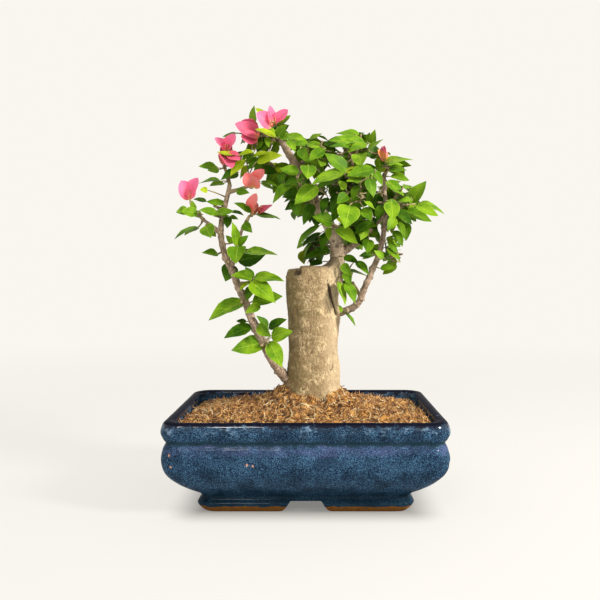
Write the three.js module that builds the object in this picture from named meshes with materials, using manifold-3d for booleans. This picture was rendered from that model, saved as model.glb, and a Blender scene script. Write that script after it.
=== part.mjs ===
// A bougainvillea bonsai in a blue glazed pot, in millimetres, +Z up.
// The origin is on the ground under the middle of the pot, and +Y points to the back.
//
// The plant is a short thick trunk, cut flat on top, with a leader that arches up and to the left,
// a long thin branch on each side, and masses of foliage. Every limb is a tapering loft along a
// smooth curve, and every mass is one stem with shoots, leaves and blossoms grown by a seeded rule.
import * as THREE from 'three';
import { mergeVertices } from 'three/addons/utils/BufferGeometryUtils.js';
import Module from 'manifold-3d';

const wasm = await Module();
wasm.setup();

// ---------------------------------------------------------------- driving dimensions
const FIT = 0.3; // air between two pieces that touch
const FINEST_EDGE = 0.01; // shorter edges that a cut leaves are closed up
const UP = new THREE.Vector3(0, 0, 1);

// Pot: a rounded rectangle whose half sizes shrink by an inset at each height.
const POT = {
  halfLength: 115.5,
  halfWidth: 85,
  corner: 15,
  cornerSteps: 3,
  outside: [
    [0, 30], [2, 28], [6.8, 25.3], [13, 28], [20.5, 18], [26.7, 10.3], [33, 4.6],
    [39.4, 1.3], [47.7, 0], [56, 1.2], [60.5, 3], [64, 1.2], [69, -0.5], [76, 1], [78, 2.6],
  ],
  inside: [[18, 31], [24, 22], [31, 14], [40, 9.8], [50, 8.8], [70, 9], [79, 9.8]],
  footWidth: 12,
  hollow: 9.5, // height of the hollow underneath
  frontGap: { foot: 45, crown: 25 }, // gap between the front feet, at the ground and at its top
  sideGap: { foot: 36, crown: 20 },
  drain: { radius: 7, apart: 90 },
};

const SOIL = {
  wallLevel: 72.6, // height of the soil along the wall
  crest: 18.5, // how far the mound rises above that
  heaped: 1.6, // power of the mound's profile
  rings: [1, 0.86, 0.7, 0.54, 0.4, 0.29],
  middle: [5, 2], // top of the mound, X and Y
};

// Trunk: height, axis X and radius from the soil to the flat cut on top.
const TRUNK = {
  sides: 16,
  depth: 0.95, // Y radius over X radius
  sections: [
    [84, 4.7, 28.6], [89, 4.9, 26.2], [97, 5.1, 24.4], [109, 5.2, 23.4], [123, 5.2, 22.2],
    [136, 5.2, 21.7], [148, 5.2, 21.9], [160, 5, 22.3], [172, 4.3, 23], [184, 4.4, 23.8],
    [194, 4.6, 23.6], [202, 4.8, 22.8],
  ],
  // Swellings of the bark: bearing round the axis in degrees, height, size and spread.
  swellings: [[-8, 160, 2.6, 8], [4, 192, 2.4, 12], [186, 96, 3, 9], [-60, 88, 2, 10], [70, 90, 3, 10]],
  chip: { corner: [-23, 0, 203.5], size: [13, 60, 8], turn: 8 }, // broken out of the top's left edge
};

// Limbs: the points that each curve runs through, its diameters at root and tip, and its pieces,
// each with the stretch of the curve that it takes. A limb starts inside the limb that carries it.
const LIMBS = {
  leader: {
    from: 'trunk',
    through: [
      [23.5, 2, 186], [27.6, 3, 214], [23.5, 3, 232], [8, -1.5, 261], [-7.8, -5, 290.5], [-24, -3, 318],
    ],
    thick: [15, 5.4],
    sides: 8,
    pieces: { leader_lower: [0, 0.4], leader_upper: [0.4, 1] },
  },
  right_bough: {
    from: 'leader',
    through: [[27.2, 3, 212], [43.5, 9, 224], [58, 14, 237.5], [78.5, 14, 256.5]],
    thick: [8, 4.4],
    sides: 6,
    pieces: { right_bough: [0, 1] },
  },
  middle_bough: {
    from: 'right_bough',
    through: [[41, 8, 222.4], [40, 7, 242], [43, 3, 264], [41.5, 0, 289]],
    thick: [6, 3.6],
    sides: 6,
    pieces: { middle_bough: [0, 1] },
  },
  right_branch: {
    from: 'trunk',
    through: [
      [22, -2, 158.5], [43.4, -10, 168], [51.4, -13, 185.5], [65.7, -10, 217], [70.5, -8, 252], [69, -8, 284],
    ],
    thick: [6.6, 3.6],
    sides: 6,
    pieces: { right_branch_lower: [0, 0.6], right_branch_upper: [0.6, 1] },
  },
  left_branch: {
    from: 'trunk',
    through: [
      [-10, -4, 92.5], [-28, -14, 117], [-46, -20, 153], [-60, -19, 187], [-76, -12, 229], [-69, -5, 276],
    ],
    thick: [9.5, 4],
    sides: 6,
    pieces: { left_branch_lower: [0, 0.5], left_branch_upper: [0.5, 1] },
  },
  left_outer_lateral: {
    from: 'left_branch',
    through: [[-75.6, -12, 231], [-84, -14, 238.5], [-91, -14, 243.5]],
    thick: [3.8, 2.6],
    sides: 6,
    pieces: { left_outer_lateral: [0, 1] },
  },
  left_inner_lateral: {
    from: 'left_branch',
    through: [[-66, -17, 203], [-60, -20, 222], [-56, -20, 235]],
    thick: [3.8, 2.6],
    sides: 6,
    pieces: { left_inner_lateral: [0, 1] },
  },
};
const LIMB_STEP = 13; // length of one section of a limb's loft

// Foliage masses. `on` and `at` give the stem's root on a limb, `tip` its end and the middle of the
// mass, `reach` the mass's half sizes. Shoots go out evenly, or along `bearings` in degrees
// (azimuth from +X, then elevation). `reaches` are places where a leaf's point ends, and `blossoms`
// are places of three papery bracts.
const MASSES = {
  crown_left_tip: {
    on: 'leader', at: 1, tip: [-41, -2, 321], reach: [32, 28, 22], shoots: 7,
    blossoms: [[-54, -8, 324], [-34.8, -4, 339]],
  },
  crown_left_low: { on: 'leader', at: 0.86, tip: [-17, 12, 290], reach: [26, 27, 23], shoots: 6 },
  crown_top_front: { on: 'leader', at: 0.74, tip: [10, -24, 303], reach: [29, 28, 25], shoots: 7 },
  crown_top_back: { on: 'leader', at: 0.82, tip: [10, 26, 308], reach: [30, 30, 27], shoots: 7 },
  crown_arch_front: { on: 'leader', at: 0.58, tip: [0, -23, 270], reach: [26, 29, 25], shoots: 7 },
  crown_arch_back: { on: 'leader', at: 0.5, tip: [3, 27, 266], reach: [27, 31, 27], shoots: 7 },
  crown_summit: { on: 'middle_bough', at: 1, tip: [41, 0, 311], reach: [31, 30, 25], shoots: 8 },
  crown_heart_front: { on: 'middle_bough', at: 0.66, tip: [37, -34, 271], reach: [31, 28, 30], shoots: 8 },
  crown_heart_back: { on: 'middle_bough', at: 0.8, tip: [42, 37, 279], reach: [32, 28, 31], shoots: 8 },
  crown_right_top: {
    on: 'right_branch', at: 1, tip: [78, -3, 298], reach: [31, 30, 27], shoots: 8,
    blossoms: [[69, -9, 309]],
  },
  crown_right_front: { on: 'right_branch', at: 0.83, tip: [76, -31, 257], reach: [29, 27, 29], shoots: 8 },
  crown_right_back: { on: 'right_bough', at: 0.86, tip: [80, 36, 262], reach: [30, 27, 31], shoots: 7 },
  crown_right_tip: {
    on: 'right_bough', at: 1, tip: [103, 4, 260], reach: [24, 30, 29], shoots: 7,
    reaches: [[123.4, -8, 252]],
  },
  crown_low_left: { on: 'leader', at: 0.26, tip: [7, 12, 223], reach: [24, 27, 20], shoots: 6 },
  crown_low_front: { on: 'right_bough', at: 0.36, tip: [46, -15, 236], reach: [28, 25, 20], shoots: 6 },
  crown_low_back: { on: 'right_bough', at: 0.6, tip: [48, 35, 238], reach: [29, 26, 22], shoots: 6 },
  right_branch_tuft: { on: 'right_branch', at: 0.56, tip: [80, -5, 212], reach: [27, 27, 24], shoots: 7 },
  trunk_side_tuft: { on: 'right_branch', at: 0.3, tip: [42, 7, 188], reach: [19, 23, 23], shoots: 5 },
  left_spray_1: {
    on: 'left_branch', at: 0.295, tip: [-39, -27, 134], reach: [36, 26, 24],
    bearings: [[186, 4], [-20, -35], [-28, 24], [-120, 30], [60, 20]],
  },
  left_spray_2: {
    on: 'left_branch', at: 0.39, tip: [-46, -12, 152], reach: [36, 26, 22],
    bearings: [[172, 2], [10, 24], [80, 10], [120, 40]],
  },
  left_spray_3: {
    on: 'left_branch', at: 0.53, tip: [-56, -28, 171], reach: [36, 26, 20],
    bearings: [[190, -16], [-8, 8], [-80, 10], [95, 20]],
  },
  left_spray_4: {
    on: 'left_branch', at: 0.6, tip: [-47, -16, 189], reach: [32, 26, 20],
    bearings: [[-10, -28], [4, 14], [-70, 16], [100, 10], [60, 60]],
  },
  left_spray_5: {
    on: 'left_branch', at: 0.7, tip: [-68, -24, 206], reach: [38, 26, 24],
    bearings: [[168, 16], [-12, 8], [-100, -40], [10, 40], [130, 20]],
  },
  left_inner_spray: {
    on: 'left_inner_lateral', at: 1, tip: [-50, -19, 247], reach: [27, 28, 26],
    bearings: [[180, 50], [0, 30], [-90, 20], [90, 0], [100, 60]],
    blossoms: [[-41.5, -16, 260]],
  },
  left_outer_spray: {
    on: 'left_outer_lateral', at: 1, tip: [-101, -11, 254], reach: [28, 28, 30],
    bearings: [[-20, 10], [200, 30], [100, 20], [-90, -10], [60, -20]],
    reaches: [[-122.6, -6, 229]],
    blossoms: [[-104, -12, 271]],
  },
  left_upper_spray: {
    on: 'left_branch', at: 0.9, tip: [-84, 5, 258], reach: [30, 28, 26],
    bearings: [[190, 30], [100, 20], [40, 10], [90, -30], [150, 60]],
  },
  left_top_spray: {
    on: 'left_branch', at: 1, tip: [-75, -3, 296], reach: [32, 28, 26],
    bearings: [[185, -20], [100, 10], [80, -30], [170, 25], [40, 10], [-90, 10]],
    blossoms: [[-70, -4, 310], [-60, -12, 294]],
  },
  left_top_inner: {
    on: 'left_branch', at: 0.97, tip: [-52, -8, 274], reach: [26, 26, 22],
    bearings: [[0, -20], [60, 10], [-60, -20], [110, 20]],
    blossoms: [[-45, -12, 281]],
  },
};

const LEAF = {
  length: 30,
  width: 0.62, // of the length
  fold: 0.14, // rise of the edges over the midrib, of the width
  droop: 0.1, // fall of the point, of the length
  widest: 0.42, // place of the widest section, of the length
  thick: 1.4, // at the midrib
  outward: 0.9, // how much a leaf's face turns outwards and upwards
  upward: 0.45,
  forward: 0.5, // how much a leaf points along its twig, and downwards
  hang: 0.35,
  attempts: 14, // at a free place, each smaller than the last by `yields`
  yields: 0.025,
  every: 5.5, // along a shoot
  foot: 2.2, // stretch of the twig that a leaf grows out of
  rooted: 3.5, // stretch of the root that may touch other twigs
};
// Papery bracts, three a blossom. `open` is in degrees from the blossom's axis, `below` how far its
// foot lies under its middle, and `sizes` are tried until one fits.
const BRACT = { length: 21, width: 0.78, open: 40, below: 0.45, sizes: [1, 0.85, 0.7, 0.55] };
const TWIG = { stem: 3.4, shoot: 2.6, tip: 2, collar: 1.2 }; // diameters, and the length of a twig's foot
const SPACE = 0.7; // distance that a leaf keeps from the next mass's space
const CROWN = { halfWidth: 122, top: 346 }; // bounds of all but the furthest named tips
const SEED = 977;
const SHOOT_REACH = 0.5; // how far a shoot goes to the edge of its mass
const SHOOT_SHARES = [1, 0.9, 0.8, 0.7, 0.6, 0.5, 0.4, 0.3]; // of that, tried until the end has room
const EDGE = 1.15; // how far its leaves go, of the mass's half sizes
const GOLDEN = Math.PI * (3 - Math.sqrt(5));

const COLOURS = {
  glaze: { color: 0x24507e, roughness: 0.2, metalness: 0 },
  soil: { color: 0x8a5a33, roughness: 1, metalness: 0 },
  bark: { color: 0xb59a72, roughness: 0.9, metalness: 0 },
  twig: { color: 0xa08a6c, roughness: 0.9, metalness: 0 },
  leaf: { color: 0x6aa32c, roughness: 0.6, metalness: 0 },
};
const MATERIALS = Object.fromEntries(
  Object.entries(COLOURS).map(([name, look]) => [name, new THREE.MeshStandardMaterial(look)]),
);

// ---------------------------------------------------------------- small tools
const vector = (list) => new THREE.Vector3(...list);
const radians = THREE.MathUtils.degToRad;

// Seeded random numbers from 0 to 1.
function stream(seed) {
  let state = seed >>> 0;
  return () => {
    state = (state + 0x6d2b79f5) >>> 0;
    let t = state;
    t = Math.imul(t ^ (t >>> 15), t | 1);
    t ^= t + Math.imul(t ^ (t >>> 7), t | 61);
    return ((t ^ (t >>> 14)) >>> 0) / 4294967296;
  };
}

function geometryOf(points, faces) {
  const places = points.flatMap((p) => [p.x, p.y, p.z]);
  const geometry = new THREE.BufferGeometry();
  geometry.setAttribute('position', new THREE.Float32BufferAttribute(places, 3));
  geometry.setIndex(faces.flat());
  return geometry;
}

function solid(geometry) {
  const bare = geometry.clone();
  bare.deleteAttribute('normal');
  bare.deleteAttribute('uv');
  const merged = mergeVertices(bare);
  return new wasm.Manifold(new wasm.Mesh({
    numProp: 3,
    vertProperties: merged.getAttribute('position').array,
    triVerts: merged.index.array,
  }));
}

// The largest closed body of a cut or joined solid: loose scraps go, and sealed hollows are filled.
function largestBody(manifold) {
  const bodies = manifold.decompose().sort((a, b) => b.volume() - a.volume());
  return bodies[0].simplify(FINEST_EDGE);
}

// Skin over rings of equally many points, each counter-clockwise about the direction of travel.
function loft(rings) {
  const count = rings[0].length;
  const points = rings.flat();
  const faces = [];
  for (let i = 0; i + 1 < rings.length; i += 1) {
    for (let j = 0; j < count; j += 1) {
      const a = i * count + j;
      const b = i * count + ((j + 1) % count);
      faces.push([a, b, b + count], [a, b + count, a + count]);
    }
  }
  const last = (rings.length - 1) * count;
  for (let j = 1; j + 1 < count; j += 1) {
    faces.push([0, j + 1, j], [last, last + j, last + j + 1]);
  }
  return geometryOf(points, faces);
}

// Directions of a path at its points, along the chords beside each.
function chordTangents(path) {
  return path.map((_, i) => {
    const before = path[Math.max(i - 1, 0)];
    const after = path[Math.min(i + 1, path.length - 1)];
    return after.clone().sub(before).normalize();
  });
}

// Rings of a tube along `path`, square to its tangents and carried along without twist; radii
// holds one radius a point.
function tubeRings(path, tangents, radii, sides) {
  const first = Math.abs(tangents[0].y) < 0.9 ? new THREE.Vector3(0, 1, 0) : new THREE.Vector3(1, 0, 0);
  let across = first.clone().cross(tangents[0]).normalize();
  return path.map((p, i) => {
    across = across.clone().addScaledVector(tangents[i], -across.dot(tangents[i])).normalize();
    const other = tangents[i].clone().cross(across);
    return Array.from({ length: sides }, (_, j) => {
      const turn = (2 * Math.PI * j) / sides;
      return p.clone()
        .addScaledVector(across, Math.cos(turn) * radii[i])
        .addScaledVector(other, Math.sin(turn) * radii[i]);
    });
  });
}

function roundedRectangle(halfX, halfY, corner, height) {
  const ring = [];
  for (let quarter = 0; quarter < 4; quarter += 1) {
    const sx = quarter === 0 || quarter === 3 ? 1 : -1;
    const sy = quarter < 2 ? 1 : -1;
    for (let k = 0; k <= POT.cornerSteps; k += 1) {
      const turn = (Math.PI / 2) * (quarter + k / POT.cornerSteps);
      ring.push(new THREE.Vector3(
        sx * (halfX - corner) + corner * Math.cos(turn),
        sy * (halfY - corner) + corner * Math.sin(turn),
        height,
      ));
    }
  }
  return ring;
}

// ---------------------------------------------------------------- pot and soil
// A ring of the pot's section: deeper insets have tighter corners.
function potRing([height, inset], shrink = 0) {
  const side = inset + shrink;
  return roundedRectangle(POT.halfLength - side, POT.halfWidth - side, POT.corner - 0.12 * side, height);
}

// A gap between two feet, open at the bottom, along X or Y.
function footGap({ foot, crown }, length) {
  const shape = new THREE.Shape();
  shape.moveTo(-foot / 2, -1);
  shape.lineTo(foot / 2, -1);
  shape.quadraticCurveTo(crown / 2 + 1, POT.hollow * 0.4, crown / 2, POT.hollow);
  shape.lineTo(-crown / 2, POT.hollow);
  shape.quadraticCurveTo(-crown / 2 - 1, POT.hollow * 0.4, -foot / 2, -1);
  const gap = new THREE.ExtrudeGeometry(shape, { depth: length, bevelEnabled: false, curveSegments: 4 });
  return gap.translate(0, 0, -length / 2).rotateX(Math.PI / 2);
}

function potSolid() {
  const foot = POT.outside[1][1] + POT.footWidth;
  let pot = solid(loft(POT.outside.map((section) => potRing(section))));
  pot = pot.subtract(solid(loft(POT.inside.map((section) => potRing(section)))));
  pot = pot.subtract(solid(loft([potRing([-1, foot]), potRing([POT.hollow, foot])])));
  pot = pot.subtract(solid(footGap(POT.frontGap, 3 * POT.halfWidth)));
  pot = pot.subtract(solid(footGap(POT.sideGap, 3 * POT.halfLength).rotateZ(Math.PI / 2)));
  for (const side of [-1, 1]) {
    const drain = new THREE.CylinderGeometry(POT.drain.radius, POT.drain.radius, 30, 12);
    drain.rotateX(Math.PI / 2).translate((side * POT.drain.apart) / 2, 0, POT.hollow);
    pot = pot.subtract(solid(drain));
  }
  return largestBody(pot);
}

// The soil fills the pot and rises to a mound round the trunk, uneven by a few low waves.
function soilSolid(pocket) {
  const walls = POT.inside.filter(([height]) => height < SOIL.wallLevel);
  const rings = walls.map(([height, inset], i) => potRing([height + (i === 0 ? FIT : 0), inset], FIT));
  const edge = potRing([SOIL.wallLevel, walls.at(-1)[1]], FIT);
  for (const share of SOIL.rings) {
    rings.push(edge.map((p) => {
      const x = SOIL.middle[0] + share * (p.x - SOIL.middle[0]);
      const y = SOIL.middle[1] + share * (p.y - SOIL.middle[1]);
      const wave = Math.sin(x / 13) * Math.cos(y / 11) + 0.6 * Math.sin(x / 29 + y / 17);
      const rise = SOIL.crest * (1 - share ** SOIL.heaped) + wave * (1 - share);
      return new THREE.Vector3(x, y, SOIL.wallLevel + rise);
    }));
  }
  return largestBody(solid(loft(rings)).subtract(pocket));
}

// ---------------------------------------------------------------- trunk and limbs
// Trunk loft, `extra` wider all round. Each section's radius is fluted and carries the swellings.
function trunkSolid(extra) {
  const last = TRUNK.sections.length - 1;
  const rings = TRUNK.sections.map(([height, x, radius], i) => {
    const z = height + (i === 0 ? -extra : 0) + (i === last ? extra : 0);
    return Array.from({ length: TRUNK.sides }, (_, j) => {
      const turn = (2 * Math.PI * j) / TRUNK.sides;
      let r = radius * (1 + 0.03 * Math.cos(3 * turn + 1) + 0.02 * Math.cos(5 * turn)) + extra;
      for (const [bearing, level, size, spread] of TRUNK.swellings) {
        const off = turn - radians(bearing);
        const round = Math.atan2(Math.sin(off), Math.cos(off)) * radius;
        r += size * Math.exp(-(round ** 2 + (height - level) ** 2) / spread ** 2);
      }
      return new THREE.Vector3(x + r * Math.cos(turn), TRUNK.depth * r * Math.sin(turn), z);
    });
  });
  return solid(loft(rings));
}

function chippedTrunk() {
  const { corner, size, turn } = TRUNK.chip;
  const chip = new THREE.BoxGeometry(...size);
  chip.rotateY(radians(turn)).translate(corner[0] + size[0] / 2, corner[1], corner[2]);
  return largestBody(trunkSolid(0).subtract(solid(chip)));
}

for (const limb of Object.values(LIMBS)) {
  limb.curve = new THREE.CatmullRomCurve3(limb.through.map(vector), false, 'catmullrom', 0.5);
  limb.length = limb.curve.getLength();
}

const limbRadius = (limb, t) => (limb.thick[0] + (limb.thick[1] - limb.thick[0]) * t) / 2;

// Loft of the stretch t0..t1 of a limb, `extra` wider; `ends` is added to it at both ends.
function limbSolid(limb, t0, t1, extra, ends) {
  const steps = Math.max(3, Math.round(((t1 - t0) * limb.length) / LIMB_STEP));
  const places = Array.from({ length: steps + 1 }, (_, k) => t0 + ((t1 - t0) * k) / steps);
  const path = places.map((t) => limb.curve.getPoint(t));
  const tangents = places.map((t) => limb.curve.getTangent(t));
  const radii = places.map((t) => limbRadius(limb, t) + extra);
  path[0].addScaledVector(tangents[0], -ends);
  path[steps].addScaledVector(tangents[steps], ends);
  return solid(loft(tubeRings(path, tangents, radii, limb.sides)));
}

// The trunk and each limb, wider by the fit, which cut whatever grows on them.
const CARRIERS = { trunk: trunkSolid(FIT) };
for (const [name, limb] of Object.entries(LIMBS)) {
  const stretches = Object.values(limb.pieces).map(([t0, t1]) => limbSolid(limb, t0, t1, FIT, FIT));
  CARRIERS[name] = wasm.Manifold.union(stretches);
}

function limbPieces(limb) {
  return Object.entries(limb.pieces).map(([name, [t0, t1]]) => {
    // A piece that goes on from another one starts a gap later.
    const start = t0 > 0 ? t0 + FIT / limb.length : t0;
    const piece = limbSolid(limb, start, t1, 0, 0).subtract(CARRIERS[limb.from]);
    return [name, largestBody(piece), limb.curve.getPoint(start)];
  });
}

const BARK = wasm.Manifold.union(Object.values(CARRIERS));

function distanceToBar(p, a, b) {
  const along = b.clone().sub(a);
  const share = THREE.MathUtils.clamp(p.clone().sub(a).dot(along) / along.lengthSq(), 0, 1);
  return p.distanceTo(a.clone().addScaledVector(along, share));
}

// ---------------------------------------------------------------- leaves, twigs and blossoms
// A leaf: a thin folded kite of eight faces. Its root is a point inside the twig, its widest section
// has both edges and the midrib's two sides, and it ends in a drooping point.
function leafPoints(root, along, face, length, width) {
  const side = along.clone().cross(face).normalize();
  const at = (forward, aside, rise) => root.clone()
    .addScaledVector(along, forward)
    .addScaledVector(side, aside)
    .addScaledVector(face, rise);
  const half = (length * width) / 2;
  const rise = length * width * LEAF.fold;
  return [
    root.clone(),
    at(LEAF.widest * length, -half, rise),
    at(LEAF.widest * length, half, rise),
    at(LEAF.widest * length, 0, LEAF.thick / 2),
    at(LEAF.widest * length, 0, -LEAF.thick / 2),
    at(length, 0, -LEAF.droop * length),
  ];
}
const LEAF_FACES = [
  [0, 2, 3], [0, 3, 1], [3, 2, 5], [1, 3, 5],
  [0, 4, 2], [0, 1, 4], [4, 5, 2], [1, 5, 4],
];

const leafSolid = (points) => solid(geometryOf(points, LEAF_FACES));

// Joins two loops of points by a band of triangles that goes round both evenly, with the loop turned
// so that the edges between them are short.
function bridge(base, loop, points, faces) {
  const beside = (i, turn) => loop[(Math.round((i * loop.length) / base.length) + turn) % loop.length];
  const gap = (i, turn) => points[base[i]].distanceTo(points[beside(i, turn)]);
  const stretch = (turn) => base.reduce((sum, _, i) => sum + gap(i, turn), 0);
  const turn = loop.map((_, j) => j).sort((a, b) => stretch(a) - stretch(b))[0];
  let i = 0;
  let j = 0;
  while (i < base.length || j < loop.length) {
    const from = base[i % base.length];
    const to = loop[(j + turn) % loop.length];
    if ((i + 1) * loop.length <= (j + 1) * base.length) {
      i += 1;
      faces.push([from, base[i % base.length], to]);
    } else {
      j += 1;
      faces.push([from, loop[(j + turn) % loop.length], to]);
    }
  }
}

// Grows a leaf or a twig out of a loop of a twig's skin, in place of the faces there.
function growOut(sprout, base, points, faces) {
  if (sprout.rings) {
    skinTwig(sprout, base, points, faces);
    return;
  }
  const [, left, right, top, under, tip] = sprout.points;
  const first = points.length;
  points.push(top, right, under, left, tip);
  const loop = [first, first + 1, first + 2, first + 3];
  bridge(base, loop, points, faces);
  loop.forEach((edge, i) => faces.push([edge, loop[(i + 1) % 4], first + 4]));
}

// Skin of a three-sided twig over its rings. `sprouts` holds what grows out of the three sides
// between each ring and the next, and `end` what grows out of its end.
function skinTwig({ rings, sprouts = [], end }, base, points, faces) {
  const loops = rings.map((ring) => ring.map((p) => points.push(p) - 1));
  if (base) bridge(base, loops[0], points, faces);
  else faces.push([...loops[0]].reverse());
  for (let i = 0; i + 1 < loops.length; i += 1) {
    for (let j = 0; j < 3; j += 1) {
      const k = (j + 1) % 3;
      const side = [loops[i][j], loops[i][k], loops[i + 1][k], loops[i + 1][j]];
      const sprout = sprouts[i]?.[j];
      if (sprout) growOut(sprout, side, points, faces);
      else faces.push([side[0], side[1], side[2]], [side[0], side[2], side[3]]);
    }
  }
  if (end) growOut(end, loops.at(-1), points, faces);
  else faces.push(loops.at(-1));
}

function twigSolid(twig) {
  const points = [];
  const faces = [];
  skinTwig(twig, null, points, faces);
  return solid(geometryOf(points, faces));
}

// Rings of a twig along a curve, at the given places from 0 to 1.
function twigRings(curve, places, thick0, thick1) {
  const path = places.map((t) => curve.getPoint(t));
  const tangents = places.map((t) => curve.getTangent(t));
  const radii = places.map((t) => THREE.MathUtils.lerp(thick0, thick1, t) / 2);
  return tubeRings(path, tangents, radii, 3);
}

function directionOf(azimuth, elevation) {
  const level = Math.cos(radians(elevation));
  return new THREE.Vector3(
    level * Math.cos(radians(azimuth)),
    level * Math.sin(radians(azimuth)),
    Math.sin(radians(elevation)),
  );
}

// Directions of a mass's shoots: its bearings, or points spread evenly over a ball.
function shootDirections(mass, draw) {
  if (mass.bearings) return mass.bearings.map(([azimuth, elevation]) => directionOf(azimuth, elevation));
  const spin = draw() * 2 * Math.PI;
  return Array.from({ length: mass.shoots }, (_, k) => {
    const z = 0.92 - (1.6 * (k + 0.5)) / mass.shoots + 0.16 * (draw() - 0.5);
    const turn = spin + k * GOLDEN;
    const level = Math.sqrt(1 - z * z);
    return new THREE.Vector3(level * Math.cos(turn), level * Math.sin(turn), z);
  });
}

for (const mass of Object.values(MASSES)) {
  mass.root = LIMBS[mass.on].curve.getPoint(mass.at);
  mass.end = vector(mass.tip);
}

// Whether a point is in the mass's own space: nearer to its stem than to any other mass's stem,
// inside the crown's bounds, and inside the mass's reach unless `anywhere`.
function inSpace(mass, p, anywhere) {
  if (Math.abs(p.x) > CROWN.halfWidth || p.z > CROWN.top) return false;
  if (!anywhere) {
    const share = p.clone().sub(mass.end).divide(vector(mass.reach));
    if (share.length() > EDGE) return false;
  }
  const own = distanceToBar(p, mass.root, mass.end);
  return Object.values(MASSES).every((other) => (
    other === mass || distanceToBar(p, other.root, other.end) > own + 2 * SPACE
  ));
}

const fits = (mass, points, anywhere) => points.every((p) => inSpace(mass, p, anywhere));
const apart = (body, others) => others.every((other) => body.intersect(other).isEmpty());

// Middle and outward direction of each side between two rings of a three-sided twig.
function sidesBetween(low, high) {
  const axis = [...low, ...high].reduce((sum, p) => sum.add(p), new THREE.Vector3()).divideScalar(6);
  return [0, 1, 2].map((j) => {
    const corners = [low[j], low[(j + 1) % 3], high[j], high[(j + 1) % 3]];
    const middle = corners.reduce((sum, p) => sum.add(p), new THREE.Vector3()).divideScalar(4);
    return { middle, normal: middle.clone().sub(axis).normalize() };
  });
}

// Turns `along` square to `face`, both as unit vectors.
const squared = (along, face) => along.clone().addScaledVector(face, -along.dot(face)).normalize();

// A twig out of `slot` to `far`, with a pair of rings at each of `nodes` for what grows there. It
// leaves its carrier square to the side that it grows out of.
function makeTwig(slot, far, nodes, thick0, thick1) {
  const reach = slot.middle.distanceTo(far);
  const heading = far.clone().sub(slot.middle).normalize().add(slot.normal).normalize();
  const middle = slot.middle.clone().addScaledVector(heading, reach / 2);
  const curve = new THREE.QuadraticBezierCurve3(slot.middle, middle, far);
  const length = curve.getLength();
  const half = LEAF.foot / 2 / length;
  const first = slot.normal.lengthSq() ? TWIG.collar / length : 0;
  const places = [first, ...nodes.flatMap((t) => [t - half, t + half]), 1];
  return { curve, nodes, rings: twigRings(curve, places, thick0, thick1), sprouts: [] };
}

// The free sides of a twig at its nodes, and its end.
function slotsOf(twig) {
  const sides = twig.nodes.flatMap((t, k) => (
    sidesBetween(twig.rings[2 * k + 1], twig.rings[2 * k + 2])
      .map((side, j) => ({ ...side, take: (sprout) => { (twig.sprouts[2 * k + 1] ??= [])[j] = sprout; } }))
  ));
  const grow = (sprout) => { twig.end = sprout; };
  return [...sides, { middle: twig.curve.getPoint(1), normal: twig.curve.getTangent(1), take: grow }];
}

// Takes the slot that faces `direction` best out of the list.
function takeBest(slots, direction) {
  const best = slots.reduce((a, b) => (b.normal.dot(direction) > a.normal.dot(direction) ? b : a));
  slots.splice(slots.indexOf(best), 1);
  return best;
}

// Places of the leaves along a twig of the given length.
function leafNodes(length) {
  const count = Math.max(1, Math.floor((length - LEAF.foot) / LEAF.every));
  return Array.from({ length: count }, (_, k) => (k + 0.8) / (count + 0.5));
}

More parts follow.
